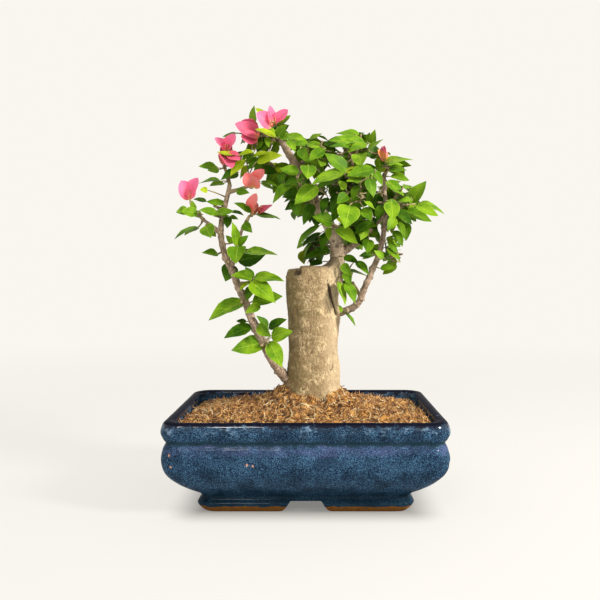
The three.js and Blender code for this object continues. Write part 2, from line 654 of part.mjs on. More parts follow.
// Grows one mass and returns its solid.
function growMass(mass, number) {
  const draw = stream(SEED + number);
  const span = mass.root.distanceTo(mass.end);
  const stations = Math.max(1, Math.min(4, Math.floor(span / 8)));
  const stem = makeTwig(
    { middle: mass.root, normal: new THREE.Vector3() },
    mass.end,
    Array.from({ length: stations }, (_, k) => 0.42 + (0.52 * (k + 0.5)) / stations),
    TWIG.stem,
    TWIG.shoot,
  );
  const slots = slotsOf(stem);
  const taken = [twigSolid({ rings: stem.rings })]; // solids that the next sprout stays clear of
  const heart = mass.root.clone().lerp(mass.end, 0.4);

  // A twig to `far` out of a free side of the stem: the side that faces it best, of those where the
  // twig stays clear beyond its collar. With no such side there is none.
  function branchTo(far, nodesOver) {
    const direction = far.clone().sub(mass.end).normalize();
    const facing = slots.filter(({ normal }) => normal.dot(direction) > -0.2)
      .sort((a, b) => b.normal.dot(direction) - a.normal.dot(direction));
    for (const slot of facing) {
      const twig = makeTwig(slot, far, nodesOver(slot.middle.distanceTo(far)), TWIG.shoot, TWIG.tip);
      const beyond = [0.25, 0.6, 1].map((t) => twig.curve.getPoint(t));
      const bare = solid(loft(tubeRings(beyond, chordTangents(beyond), beyond.map(() => TWIG.shoot / 2), 3)));
      if (apart(bare, [BARK, ...taken])) {
        taken.push(bare);
        slots.splice(slots.indexOf(slot), 1);
        slot.take(twig);
        return twig;
      }
    }
    return null;
  }

  // A leaf on one of the slots, turned and shrunk a little at each attempt until it keeps to the
  // mass's space and touches nothing.
  function setLeaf(free, forward, turn, length) {
    for (let attempt = 0; attempt < LEAF.attempts; attempt += 1) {
      const azimuth = turn + attempt * GOLDEN;
      const outward = free[0].middle.clone().sub(heart).normalize();
      const face = outward.multiplyScalar(LEAF.outward).addScaledVector(UP, LEAF.upward).normalize();
      const spread = new THREE.Vector3(Math.cos(azimuth), Math.sin(azimuth), -LEAF.hang);
      let along = squared(spread.addScaledVector(forward, LEAF.forward), face);
      const slot = takeBest([...free], along);
      const { middle, normal } = slot;
      along = along.addScaledVector(normal, Math.max(0, 0.5 - along.dot(normal))).normalize();
      const size = length * (1 - LEAF.yields * attempt);
      const points = leafPoints(middle, along, squared(face, along), size, LEAF.width);
      if (fits(mass, points.slice(1), false)) {
        const blade = leafSolid([middle.clone().addScaledVector(along, LEAF.rooted), ...points.slice(1)]);
        if (apart(blade, [BARK, ...taken])) {
          taken.push(blade);
          slot.take({ points });
          return slot;
        }
      }
    }
    return null;
  }

  for (const place of mass.reaches ?? []) {
    const point = vector(place);
    const away = mass.end.distanceTo(point);
    const length = Math.min(LEAF.length, 0.7 * away);
    const twig = branchTo(mass.end.clone().lerp(point, 1 - length / away), () => []);
    if (!twig) continue;
    const root = twig.curve.getPoint(1);
    const along = point.clone().sub(root).normalize();
    const face = squared(UP, along);
    along.addScaledVector(face, LEAF.droop).normalize();
    twig.end = { points: leafPoints(root, along, face, length, LEAF.width) };
    taken.push(leafSolid(twig.end.points));
  }

  // A blossom: a bract out of each of the three sides of a short twig's end, a third of a turn apart.
  for (const place of mass.blossoms ?? []) {
    const centre = vector(place);
    const axis = centre.clone().sub(mass.end).setLength(0.8).add(UP).normalize();
    const foot = centre.clone().addScaledVector(axis, -BRACT.length * BRACT.below);
    const twig = branchTo(foot, (length) => [1 - LEAF.foot / length]);
    if (!twig) continue;
    twig.rings.pop();
    const [, low, high] = twig.rings;
    const open = radians(BRACT.open);
    const sides = sidesBetween(low, high);
    const first = squared(sides[0].normal, axis);
    const third = (2 * Math.PI / 3) * (twig.curve.getTangent(1).dot(axis) < 0 ? -1 : 1);
    twig.sprouts[1] = sides.map(({ middle }, k) => {
      const outward = first.clone().applyAxisAngle(axis, k * third);
      const along = axis.clone().multiplyScalar(Math.cos(open)).addScaledVector(outward, Math.sin(open));
      const face = axis.clone().multiplyScalar(Math.sin(open)).addScaledVector(outward, -Math.cos(open));
      const lengths = BRACT.sizes.map((size) => size * BRACT.length);
      const shapes = lengths.map((length) => leafPoints(middle, along, face, length, BRACT.width));
      const points = shapes.find((shape) => fits(mass, shape.slice(1), true)) ?? shapes.at(-1);
      taken.push(leafSolid([middle.clone().addScaledVector(along, LEAF.rooted), ...points.slice(1)]));
      return { points };
    });
  }

  // Shoots, each as far as the mass's space goes in its direction, and then their leaves.
  const shoots = [];
  for (const direction of shootDirections(mass, draw)) {
    const spin = draw() * 2 * Math.PI;
    const whole = direction.clone().multiply(vector(mass.reach)).multiplyScalar(SHOOT_REACH);
    const ends = SHOOT_SHARES.map((share) => mass.end.clone().addScaledVector(whole, share));
    const twig = branchTo(ends.find((end) => inSpace(mass, end, false)) ?? ends.at(-1), leafNodes);
    if (twig) shoots.push([twig, spin]);
  }
  for (const [twig, spin] of shoots) {
    const size = () => LEAF.length * (0.84 + 0.3 * draw());
    setLeaf([slotsOf(twig).at(-1)], twig.curve.getTangent(1), spin, size());
    const free = slotsOf(twig).slice(0, -1);
    twig.nodes.forEach((t, k) => {
      const round = free.slice(3 * k, 3 * k + 3);
      const forward = twig.curve.getTangent(t);
      const first = setLeaf(round, forward, spin + k * GOLDEN, size());
      setLeaf(round.filter((slot) => slot !== first), forward, spin + k * GOLDEN + Math.PI, size());
    });
  }
  return largestBody(twigSolid(stem).subtract(BARK));
}

// ---------------------------------------------------------------- the scene graph
// A named mesh whose origin is at `origin`, so that each sub-part is placed by its position.
function part(name, manifold, material, origin) {
  const { vertProperties, triVerts } = manifold.getMesh();
  const geometry = new THREE.BufferGeometry();
  geometry.setAttribute('position', new THREE.Float32BufferAttribute(Float32Array.from(vertProperties), 3));
  geometry.setIndex(Array.from(triVerts));
  geometry.translate(-origin.x, -origin.y, -origin.z);
  geometry.computeVertexNormals();
  const mesh = new THREE.Mesh(geometry, material);
  mesh.name = name;
  mesh.position.copy(origin);
  return mesh;
}

const ORIGIN = new THREE.Vector3();
const bonsai = new THREE.Group();

const container = new THREE.Group();
container.add(part('pot', potSolid(), MATERIALS.glaze, ORIGIN));
container.add(part('soil', soilSolid(CARRIERS.trunk.add(CARRIERS.left_branch)), MATERIALS.soil, ORIGIN));

const wood = new THREE.Group();
const foot = new THREE.Vector3(TRUNK.sections[0][1], 0, TRUNK.sections[0][0]);
wood.add(part('trunk', chippedTrunk(), MATERIALS.bark, foot));
for (const limb of Object.values(LIMBS)) {
  for (const [name, piece, root] of limbPieces(limb)) wood.add(part(name, piece, MATERIALS.twig, root));
}

const foliage = new THREE.Group();
Object.entries(MASSES).forEach(([name, mass], number) => {
  foliage.add(part(name, growMass(mass, number), MATERIALS.leaf, mass.root));
});

bonsai.add(container, wood, foliage);
export default bonsai;
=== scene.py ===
"""The looks of a bougainvillea bonsai in a rectangular blue glazed pot.

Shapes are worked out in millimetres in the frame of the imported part: the origin lies on the ground
under the middle of the pot, +X points right, +Y back and +Z up. `put` turns them into metres.
"""
import itertools
import math

import bpy
import numpy as np
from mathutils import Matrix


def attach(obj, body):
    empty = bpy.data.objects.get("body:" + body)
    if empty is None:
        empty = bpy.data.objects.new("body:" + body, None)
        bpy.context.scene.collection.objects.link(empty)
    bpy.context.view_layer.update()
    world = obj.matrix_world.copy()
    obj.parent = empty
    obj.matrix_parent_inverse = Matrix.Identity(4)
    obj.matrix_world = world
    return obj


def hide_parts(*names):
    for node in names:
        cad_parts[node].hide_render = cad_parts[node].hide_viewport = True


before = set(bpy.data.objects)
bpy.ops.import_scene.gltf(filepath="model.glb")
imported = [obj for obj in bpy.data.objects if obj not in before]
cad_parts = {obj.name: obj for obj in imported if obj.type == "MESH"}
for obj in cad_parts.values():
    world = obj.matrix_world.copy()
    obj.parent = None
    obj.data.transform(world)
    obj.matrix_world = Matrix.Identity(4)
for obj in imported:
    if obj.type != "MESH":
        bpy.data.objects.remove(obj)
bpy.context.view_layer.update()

MM = 0.001
UP = np.array([0.0, 0.0, 1.0])
GOLDEN = math.pi * (3 - math.sqrt(5))

# ------------------------------------------------------------------ sizes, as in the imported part
POT_HALF = (115.5, 85.0)
POT_CORNER = 15.0
POT_TIGHTEN = 0.12  # how much a corner tightens for each mm of inset
POT_OUTSIDE = [  # height, inset from the half sizes
    (0, 30), (2, 28), (6.8, 25.3), (13, 28), (20.5, 18), (26.7, 10.3), (33, 4.6), (39.4, 1.3), (47.7, 0),
    (56, 1.2), (60.5, 3), (64, 1.2), (69, -0.5), (74, 0.2), (77, 1.6), (78, 4), (78, 6.5), (77.2, 8.8),
]
POT_INSIDE = [(75, 9.5), (70, 9), (50, 8.8), (40, 9.8), (31, 14), (24, 22), (18, 31)]
POT_WAIST = 13.0  # height where the foot meets the belly
FOOT_WIDTH = 12.0
FOOT_HOLLOW = 9.5
FRONT_GAP = (22.5, 12.5)  # half widths of the gap between two feet, at the ground and at its top
SIDE_GAP = (18.0, 10.0)
DRAINS = (-45.0, 45.0)
DRAIN_RADIUS = 7.0
GLAZE_PITS = [(-45.6, 46.3), (-40.9, 45.5), (-107.0, 53.3), (-105.5, 44.7)]  # X and Z, in the front

SOIL_LEVEL = 72.6
SOIL_CREST = 18.5
SOIL_MIDDLE = np.array([5.0, 2.0])
SOIL_INSET = 9.3  # from the pot's half sizes
SOIL_HALF = np.array(POT_HALF) - SOIL_INSET

TRUNK_DEPTH = 0.95
TRUNK = np.array([  # height, axis X, radius
    (84, 4.7, 28.6), (89, 4.9, 26.2), (97, 5.1, 24.4), (109, 5.2, 23.4), (123, 5.2, 22.2), (136, 5.2, 21.7),
    (148, 5.2, 21.9), (160, 5, 22.3), (172, 4.3, 23), (184, 4.4, 23.8), (194, 4.6, 23.6), (202, 4.8, 22.8),
], float)
SWELLINGS = [  # bearing, height, size, spread
    (-8, 160, 2.6, 8), (4, 192, 2.4, 12), (186, 96, 3, 9), (-60, 88, 2, 10), (70, 90, 3, 10),
]
TRUNK_FOOT = (4.7, 22.0)  # axis X and radius, where the soil meets it
TRUNK_GIRTH = 23.0  # mean radius, for distances round the bark

LIMBS = {  # the points of each curve, and its diameters at root and tip
    "leader": ([(23.5, 2, 186), (27.6, 3, 214), (23.5, 3, 232), (8, -1.5, 261), (-7.8, -5, 290.5),
                (-24, -3, 318)], (15, 5.4)),
    "right_bough": ([(27.2, 3, 212), (43.5, 9, 224), (58, 14, 237.5), (78.5, 14, 256.5)], (8, 4.4)),
    "middle_bough": ([(41, 8, 222.4), (40, 7, 242), (43, 3, 264), (41.5, 0, 289)], (6, 3.6)),
    "right_branch": ([(22, -2, 158.5), (43.4, -10, 168), (51.4, -13, 185.5), (65.7, -10, 217),
                      (70.5, -8, 252), (69, -8, 284)], (6.6, 3.6)),
    "left_branch": ([(-10, -4, 92.5), (-28, -14, 117), (-46, -20, 153), (-60, -19, 187), (-76, -12, 229),
                     (-69, -5, 276)], (9.5, 4)),
    "left_outer_lateral": ([(-75.6, -12, 231), (-84, -14, 238.5), (-91, -14, 243.5)], (3.8, 2.6)),
    "left_inner_lateral": ([(-66, -17, 203), (-60, -20, 222), (-56, -20, 235)], (3.8, 2.6)),
}
LIMB_NODES = {
    "leader": ("leader_lower", "leader_upper"),
    "right_branch": ("right_branch_lower", "right_branch_upper"),
    "left_branch": ("left_branch_lower", "left_branch_upper"),
}

MASSES = {  # limb, place on it, tip of the stem, half sizes, shoots set by the rule
    "crown_left_tip": ("leader", 1, (-41, -2, 321), (32, 28, 22), 4),
    "crown_left_low": ("leader", 0.86, (-17, 12, 290), (26, 27, 23), 4),
    "crown_top_front": ("leader", 0.74, (10, -24, 303), (29, 28, 25), 5),
    "crown_top_back": ("leader", 0.82, (10, 26, 308), (30, 30, 27), 7),
    "crown_arch_front": ("leader", 0.58, (0, -23, 270), (26, 29, 25), 7),
    "crown_arch_back": ("leader", 0.5, (3, 27, 266), (27, 31, 27), 7),
    "crown_summit": ("middle_bough", 1, (41, 0, 311), (31, 30, 25), 5),
    "crown_heart_front": ("middle_bough", 0.66, (37, -34, 271), (31, 28, 30), 8),
    "crown_heart_back": ("middle_bough", 0.8, (42, 37, 279), (32, 28, 31), 8),
    "crown_right_top": ("right_branch", 1, (78, -3, 298), (31, 30, 27), 5),
    "crown_right_front": ("right_branch", 0.83, (76, -31, 257), (29, 27, 29), 8),
    "crown_right_back": ("right_bough", 0.86, (80, 36, 262), (30, 27, 31), 7),
    "crown_right_tip": ("right_bough", 1, (103, 4, 260), (24, 30, 29), 4),
    "crown_low_left": ("leader", 0.26, (7, 12, 223), (24, 27, 20), 3),
    "crown_low_front": ("right_bough", 0.36, (46, -15, 236), (28, 25, 20), 6),
    "crown_low_back": ("right_bough", 0.6, (48, 35, 238), (29, 26, 22), 6),
    "right_branch_tuft": ("right_branch", 0.56, (80, -5, 212), (27, 27, 24), 3),
    "trunk_side_tuft": ("right_branch", 0.3, (42, 7, 188), (19, 23, 23), 3),
    "left_spray_1": ("left_branch", 0.295, (-39, -27, 134), (36, 26, 24), 0),
    "left_spray_2": ("left_branch", 0.39, (-46, -12, 152), (36, 26, 22), 0),
    "left_spray_3": ("left_branch", 0.53, (-56, -28, 171), (36, 26, 20), 0),
    "left_spray_4": ("left_branch", 0.6, (-47, -16, 189), (32, 26, 20), 0),
    "left_spray_5": ("left_branch", 0.7, (-68, -24, 206), (38, 26, 24), 0),
    "left_inner_spray": ("left_inner_lateral", 1, (-50, -19, 247), (27, 28, 26), 0),
    "left_outer_spray": ("left_outer_lateral", 1, (-101, -11, 254), (28, 28, 30), 0),
    "left_upper_spray": ("left_branch", 0.9, (-84, 5, 258), (30, 28, 26), 0),
    "left_top_spray": ("left_branch", 1, (-75, -3, 296), (32, 28, 26), 0),
    "left_top_inner": ("left_branch", 0.97, (-52, -8, 274), (26, 26, 22), 0),
}
SEED = 977
SPACE = 0.7  # distance that a leaf keeps from the next mass's space
EDGE = 1.15  # how far leaves go, of a mass's half sizes
SHOOT_REACH = 0.5
SHOOT_SHARES = (1, 0.9, 0.8, 0.7, 0.6, 0.5, 0.4, 0.3)
CROWN_HALF_WIDTH = 122.0
CROWN_TOP = 346.0
LEAF_DROOP = 0.16  # of a leaf's length
SCAR_SPACING = 8.5  # of old leaf scars along a limb
LEAF_TRIES = 9
CROWN_HEART = np.array([28.0, 0.0, 262.0])
CROWN_SIZE = np.array([78.0, 60.0, 60.0])  # half sizes, within which leaves are darker, as painted shade inside the crown
LEFT_EDGE = -45.0  # of the crown: left of it, the same holds round another heart, at a leaf's own height
LEFT_HEART = (-62.0, -14.0)
LEFT_SIZE = np.array([44.0, 34.0, 60.0])
PLACED_REACH = 6.5  # how far from a blade with a place of its own the rule may still set one

# ------------------------------------------------------------------ camera, surroundings and lights
CAMERA = (9.2, -632.5, 195.0)  # mm
LENS = 42.0
SENSOR = 36.0
FRAME = 600  # pixels, across and down
FRAME_SHIFT = (-17, -25)  # pixels, to the right and up
FRAME_AXIS = (FRAME / 2 - FRAME_SHIFT[0], FRAME / 2 + FRAME_SHIFT[1])  # the middle of the view, in pixels

BACKDROP = (0.955, 0.925, 0.865)
FLOOR = (0.17, 0.17, 0.17)
# The floor's low glow under the pot is a painted contact shadow.
FLOOR_GLOW_AND_PAINTED_SHADOW = (0.13, 0.745)  # light that the floor gives off, under the pot and beside it, of the backdrop's
FRONT_GLOW = 0.6  # brightness of the surroundings in front, of the backdrop's
LIGHTS = [  # name, place in metres, diameter, watts, colour
    ("key", (1.1, -0.65, 0.75), 0.3, 25.5, (1.0, 0.95, 0.88)),
    ("front", (-0.25, -1.5, 1.1), 0.20, 4.0, (1.0, 0.98, 0.96)),
    ("front_left", (-0.50, -1.43, 1.1), 0.20, 4.0, (1.0, 0.98, 0.96)),
]

LIGHTS_AIM = (0, 0, 0.17)  # metres

# ------------------------------------------------------------------ colours of leaves and bracts
# Lime is the young leaves' colour; the other tones are lit and shaded copies of one green, set as painted
# light and painted shade.
LEAF_TONES = {  # shade, blade, margin; shade and blade make patches of painted sun and shade
    "lime": ((0.20, 0.30, 0.005), (0.36, 0.46, 0.012), (0.56, 0.66, 0.06)),
    "bright": ((0.075, 0.185, 0.004), (0.19, 0.34, 0.010), (0.42, 0.56, 0.06)),
    "green": ((0.050, 0.140, 0.003), (0.125, 0.26, 0.006), (0.28, 0.43, 0.03)),
    "deep": ((0.018, 0.068, 0.002), (0.060, 0.150, 0.003), (0.15, 0.28, 0.015)),
}
BRACT_TONES = {  # base, body, tip
    "pink": ((0.80, 0.22, 0.16), (0.80, 0.10, 0.22), (0.85, 0.16, 0.34)),
    "rose": ((0.66, 0.13, 0.08), (0.56, 0.050, 0.11), (0.66, 0.085, 0.19)),
    "coral": ((0.72, 0.32, 0.08), (0.82, 0.16, 0.13), (0.84, 0.20, 0.22)),
    "amber": ((0.40, 0.36, 0.03), (0.62, 0.38, 0.05), (0.78, 0.26, 0.08)),
}

# ------------------------------------------------------------------ leaves and bracts with places
# A leaf's and a bract's usual shape: its width of its length, the least of its length to show, the least
# of the full width and the most of the length that its width may be, and how much wider it is than its
# curled blade shows.
LEAF_KIND = (0.66, 0.55, 0.93, 0.8, 1.0)
BRACT_KIND = (0.72, 0.6, 0.9, 0.85, 1.3)

# A row of nine is set in millimetres: base, point, width, how far the blade's face turns up from the
# front in degrees, and finish. A shorter row tells how a blade shows in the camera's frame: the depth Y of
# its base, the pixels of its base and of its point, its width in pixels, and finish. A -1 at its end turns
# the face down. Three bracts in a row make a blossom.
PLACED = {
    "crown_left_tip": [
        (-18, 252.8, 156, 269.6, 152.5, 7, "lime"),
        (-4, 238.2, 133.6, 222.7, 137, 5, "green"),
        (-4, 253, 124.1, 255.4, 105.6, 10, "bright"),
        (4, 266.6, 119.2, 255.8, 107.7, 9, "lime"),
        (-2, 277.8, 126, 289.4, 114.6, 9, "bright"),
        (-40, -5, 316, -54, -10, 305, 13, 29, "green"),
        (-34, -4, 318, -45, -9, 304, 14, 30, "deep"),
        (-18, 266.6, 137, 269.2, 147.5, 7, "bright"),
        (-20, 276.9, 137.9, 255.4, 128, 8, "lime"),
        (-22, 277.8, 137.2, 286.4, 124.5, 13, "bright"),
    ],
    "crown_left_low": [
        (-2, 262, 170, 278, 173, 10, "deep"),
    ],
    "crown_top_front": [
        (-24, 280.4, 137.5, 293, 139, 8, "bright"),
        (-14, 286, 135.3, 307.4, 140.9, 10, "bright"),
        (-26, 287, 141, 300, 148, 9, "green"),
        (-10, 309.2, 140.9, 322.8, 134.3, 5, "bright"),
        (-30, 287.4, 139.9, 295.4, 152.1, 9, "bright"),
        (-30, 307.5, 143.4, 324.5, 149.3, 10, "bright"),
        (-26, 309, 143, 292, 146, 9, "green"),
        (-40, 300.8, 148.7, 308.1, 162, 12, "green"),
        (-38, 323.8, 148.7, 308.8, 162.3, 13, "green"),
        (-22, 354.7, 142.2, 336, 148, 9, "green"),
        (-30, 352, 148, 330, 146.5, 9, "green"),
    ],
    "crown_arch_front": [
        (-44, 308.4, 165.9, 308.4, 177.6, 21, "bright"),
        (-44, 316.9, 186.2, 294.5, 206.5, 18, "bright"),
        (-36, 291.5, 184.5, 271.8, 201.5, 14, "green"),
        (-34, 299, 171.6, 280, 169, 11, "green"),
        (-34, 301.8, 177.1, 283.9, 185.8, 9, "deep"),
        (-20, 282, 172, 281, 185.5, 8, "deep"),
        (-22, 294.5, 201, 298.3, 217, 13, "deep"),
        (-26, 313, 205, 302.2, 223.3, 14, "deep"),
        (2, -8, 275, -15, -10, 284, 15, 10, "deep"),
        (12, -12, 286, 22, -14, 272, 14, 12, "deep"),
    ],
    "crown_summit": [
        (37, 8, 317, 15, 1, 313, 15, 46, "deep"),
        (52, -16, 311, 20, -27, 312, 19, 52, "bright"),
        (48, -4, 319, 26, -10, 322, 14, 44, "green"),
        (-2, 366.3, 140.6, 370, 132.5, 5, "green"),
        (-12, 371.8, 144, 375.1, 129.8, 9, "bright"),
        (46, 2, 303, 29, 0, 293, 16, 20, "deep"),
        (61, 2, 300, 58, 0, 316, 14, 15, "deep"),
    ],
    "crown_heart_front": [
        (-50, 345.3, 171.1, 311.9, 182, 13, "bright"),
        (-44, 346.3, 170.4, 327, 153.6, 14, "green"),
        (-40, 338.2, 177.8, 315.5, 187.2, 12, "deep"),
        (22, -36, 239, 5, -42, 244, 17, 34, "green"),
        (-56, 349.6, 205.4, 346.4, 227.2, 24, "bright"),
        (-50, 346.6, 193.9, 336.4, 204.5, 12, "green"),
        (-48, 374.1, 169.7, 347.5, 176, 14, "green"),
        (-34, 359.4, 154.2, 361.5, 166.3, 18, "bright"),
        (-48, 345.4, 189.3, 338.3, 180.2, 8, "bright"),
        (-50, 361.5, 179.5, 346.1, 182.3, 8, "bright"),
        (-52, 368.2, 178.5, 373.8, 197, 13, "green"),
        (-44, 372.7, 170.4, 382.5, 184.7, 10, "bright"),
        (-52, 364.7, 201, 375.5, 210.9, 7, "bright"),
        (-50, 363.6, 207.2, 371.3, 221.9, 12, "green"),
        (-34, 342.5, 192.5, 330.6, 214, 15, "deep"),
        (-30, 341, 210, 330, 224, 11, "deep"),
        (-40, 371, 213, 352, 224, 11, "deep"),
        (-36, 327, 197, 322, 215, 11, "deep"),
        (-46, 359, 186, 352, 200, 9, "green"),
        (-44, 375, 190, 366, 203, 9, "deep"),
        (-30, 366.2, 145.2, 347.6, 151.4, 10, "bright"),
        (34, -8, 291, 18, -10, 297, 14, 20, "deep"),
        (55, -14, 263, 37, -16, 255, 16, 15, "deep"),
        (62, -12, 267, 60, -14, 246, 15, 10, "deep"),
        (50, -10, 252, 34, -12, 246, 14, 15, "deep"),
    ],
    "crown_right_top": [
        (-26, 368.3, 149.1, 384.1, 140, 8, "bright"),
        (68, -16, 295, 93, -25, 294, 16, 52, "bright"),
        (73, -14, 289, 88, -20, 286, 12, 36, "green"),
        (74, -14, 282, 90, -20, 277, 12, 50, "bright"),
    ],
    "crown_right_front": [
        (-50, 391.2, 201.1, 392.4, 221.5, 17, "bright"),
        (-42, 394.8, 218.5, 387, 231.2, 11, "bright"),
        (-30, 384, 205, 376, 222, 12, "deep"),
        (-24, 386.5, 180.5, 404.5, 196.5, 14, "bright"),
        (-20, 411.6, 202.1, 425.3, 180.7, 15, "bright"),
        (-30, 411.9, 200.3, 397.6, 201.1, 8, "bright"),
        (94, -32, 254, 112, -39, 245, 12, 40, "bright"),
        (86, -24, 250, 108, -28, 240, 15, 44, "green"),
        (-36, 395.8, 210.8, 412, 225.3, 12, "deep"),
        (-34, 397.9, 222.3, 403.5, 236.5, 9, "bright"),
        (-22, 405.5, 222, 405.4, 241, 8, "green"),
    ],
    "crown_right_tip": [
        (-14, 420, 203, 445, 212, 10, "bright"),
    ],
    "crown_low_left": [
        (-26, 319.7, 225.5, 295.5, 245.8, 8, "green"),
        (-20, 321.1, 232.5, 302.5, 247.5, 7, "deep"),
        (-8, 325.3, 253.2, 300.6, 260.5, 10, "deep"),
        (-4, 330, 252, 313, 250, 10, "deep"),
        (0, 322, 262, 309, 266, 8, "deep"),
    ],
    "crown_low_front": [
        (-22, 327.1, 231.8, 321.5, 249.2, 9, "deep"),
        (-26, 329, 228, 328, 240, 8, "bright"),
        (-36, 335.2, 229.3, 356.9, 245, 13, "bright"),
        (-34, 365.7, 227.6, 361, 241, 11, "bright"),
        (-24, 369, 239.1, 366.7, 253.8, 13, "green"),
        (-34, 373, 222, 355, 234.5, 10, "deep"),
    ],
    "right_branch_tuft": [
        (-16, 394, 231, 402.5, 246, 11, "green"),
        (-18, 388.9, 241.9, 397.8, 255.4, 9, "green"),
        (-20, 388.1, 247.3, 399.3, 261.8, 10, "bright"),
        (-12, 383, 253, 391, 263, 7, "deep"),
        (-24, 383.5, 257.4, 373.8, 250.2, 8, "bright"),
        (-16, 379.8, 268.5, 394.3, 268.5, 8, "green"),
        (-18, 371.4, 254.6, 359.7, 255.9, 8, "deep"),
    ],
    "trunk_side_tuft": [
        (-10, 344, 257.5, 358.5, 263, 9, "deep"),
        (-10, 355.7, 261.8, 369.1, 273.7, 10, "green"),
        (-14, 343, 264.1, 350, 276.5, 10, "bright"),
        (-12, 345, 272, 351, 285, 10, "bright"),
        (-16, 338.4, 282, 344.8, 305.5, 10, "bright"),
        (-14, 346.4, 283.2, 354.2, 303.6, 12, "green"),
        (-8, 342.7, 311, 355, 327, 3, "green"),
        (-12, 341.5, 312.5, 338, 304, 5, "bright"),
    ],
    "left_spray_1": [
        (-19, 264, 342.5, 232.5, 350.1, 18, "bright"),
        (-24, 269.4, 342.5, 281.3, 368.5, 18, "bright"),
        (-30, -27, 141, -12, -34, 147, 14, 24, "bright"),
        (-25, 258.5, 325.7, 271, 336.5, 13, "bright"),
    ],
    "left_spray_2": [
        (-19, 252, 326.8, 224.4, 338.7, 13, "deep"),
        (-15, 246.6, 321.4, 236.3, 321.9, 4, "deep"),
        (-33, -20, 149, -16, -26, 156, 12, 42, "deep"),
        (-21, 267.2, 327.3, 256.9, 315.9, 8, "green"),
    ],
    "left_spray_3": [
        (-21, 243.4, 301.8, 208.7, 319.5, 18, "bright"),
        (-28, 259.6, 304.6, 245, 312.1, 11, "bright"),
        (-47, -22, 172, -20, -32, 176, 18, 40, "green"),
        (-48, -30, 189, -26, -39, 173, 19, 34, "bright"),
        (-21, 252, 285, 247.7, 301.3, 9, "deep"),
    ],
    "left_spray_4": [
        (-45, -24, 193, -19, -33, 191, 17, 56, "bright"),
        (-47, -27, 192, -65, -34, 194, 15, 44, "bright"),
        (-27, 248.8, 281.8, 240.3, 291, 6, "lime"),
        (-22, 253.1, 278.5, 245.5, 266.6, 9, "green"),
    ],
    "left_spray_5": [
        (-66, -12, 204, -71, -19, 190, 16, 0, "deep"),
        (-79, -16, 214, -92, -21, 214, 10, 42, "green"),
        (-30, 237.4, 247.6, 234.9, 261.7, 24, "bright"),
        (-26, 244.7, 251.4, 277.5, 255.2, 12, "bright"),
        (-61, -19, 208, -36, -28, 212, 17, -50, "deep"),
        (-24, 237.4, 246.6, 248.8, 235.2, 10, "green"),
        (-22, 206, 226, 212, 239, 16, "bright"),
        (-10, 232, 242, 226, 235, 7, "green"),
    ],
    "left_inner_spray": [
        (-26, 235.8, 246, 233.6, 222.2, 7, "bright"),
        (-21, 243.5, 223, 252, 231.5, 10, "green"),
        (-10, 228, 216, 227, 229, 9, "deep"),
        (-20, 215.4, 214.5, 234.7, 212.8, 8, "bright"),
        (-14, 230.4, 211.1, 244.2, 214.5, 5, "deep"),
        (-12, 230, 216.2, 239, 219.2, 6, "green"),
        (-18, 250.2, 211.9, 233.4, 202.5, 8, "green"),
        (-20, 256.3, 214.5, 281.2, 218.6, 6, "green"),
    ],
    "left_outer_spray": [
        (-18, 197.7, 227.4, 173.5, 238, 7, "green"),
        (-22, 197.3, 212.8, 180.5, 211.9, 11, "bright"),
        (-10, 187.5, 209.5, 176.2, 211.9, 10, "bright"),
        (-21, 216.7, 213.6, 199, 210.2, 10, "bright"),
        (-12, 207.2, 190.4, 199.4, 190, 7, "lime"),
        (-4, 206.3, 201.6, 193.4, 199, 5, "deep"),
        (-18, 194.3, 211, 191.7, 200.3, 7, "bright"),
    ],
    "left_upper_spray": [
        (-10, 224.4, 204.2, 206.3, 201.6, 6, "green"),
    ],
    "left_top_spray": [
        (-12, 216.7, 168, 198.1, 167.2, 11, "green"),
        (-14, 220.1, 180.5, 198.1, 181.8, 7, "green"),
        (-16, 237.7, 156, 217.5, 151.7, 5, "lime"),
        (-17, 252.8, 151.7, 238.2, 156, 8, "lime"),
        (-54, -18, 296, -66, -25, 281, 12, 45, "lime"),
        (-62, -10, 287, -76, -15, 280, 11, 30, "deep"),
        (-66, -8, 296, -56, -10, 306, 11, 20, "deep"),
    ],
    "left_top_inner": [
        (-14, 236.5, 191.3, 249.8, 193, 9, "green"),
        (-12, 260.6, 181.8, 277.8, 188.2, 5, "green"),
        (-43, -21, 294, -20, -29, 297, 15, 40, "lime"),
        (-47, -15, 303, -58, -18, 292, 11, 30, "green"),
        (-39, -14, 297, -52, -18, 288, 12, 30, "green"),
        (-33, -8, 296, -45, -10, 303, 11, 25, "deep"),
    ],
}
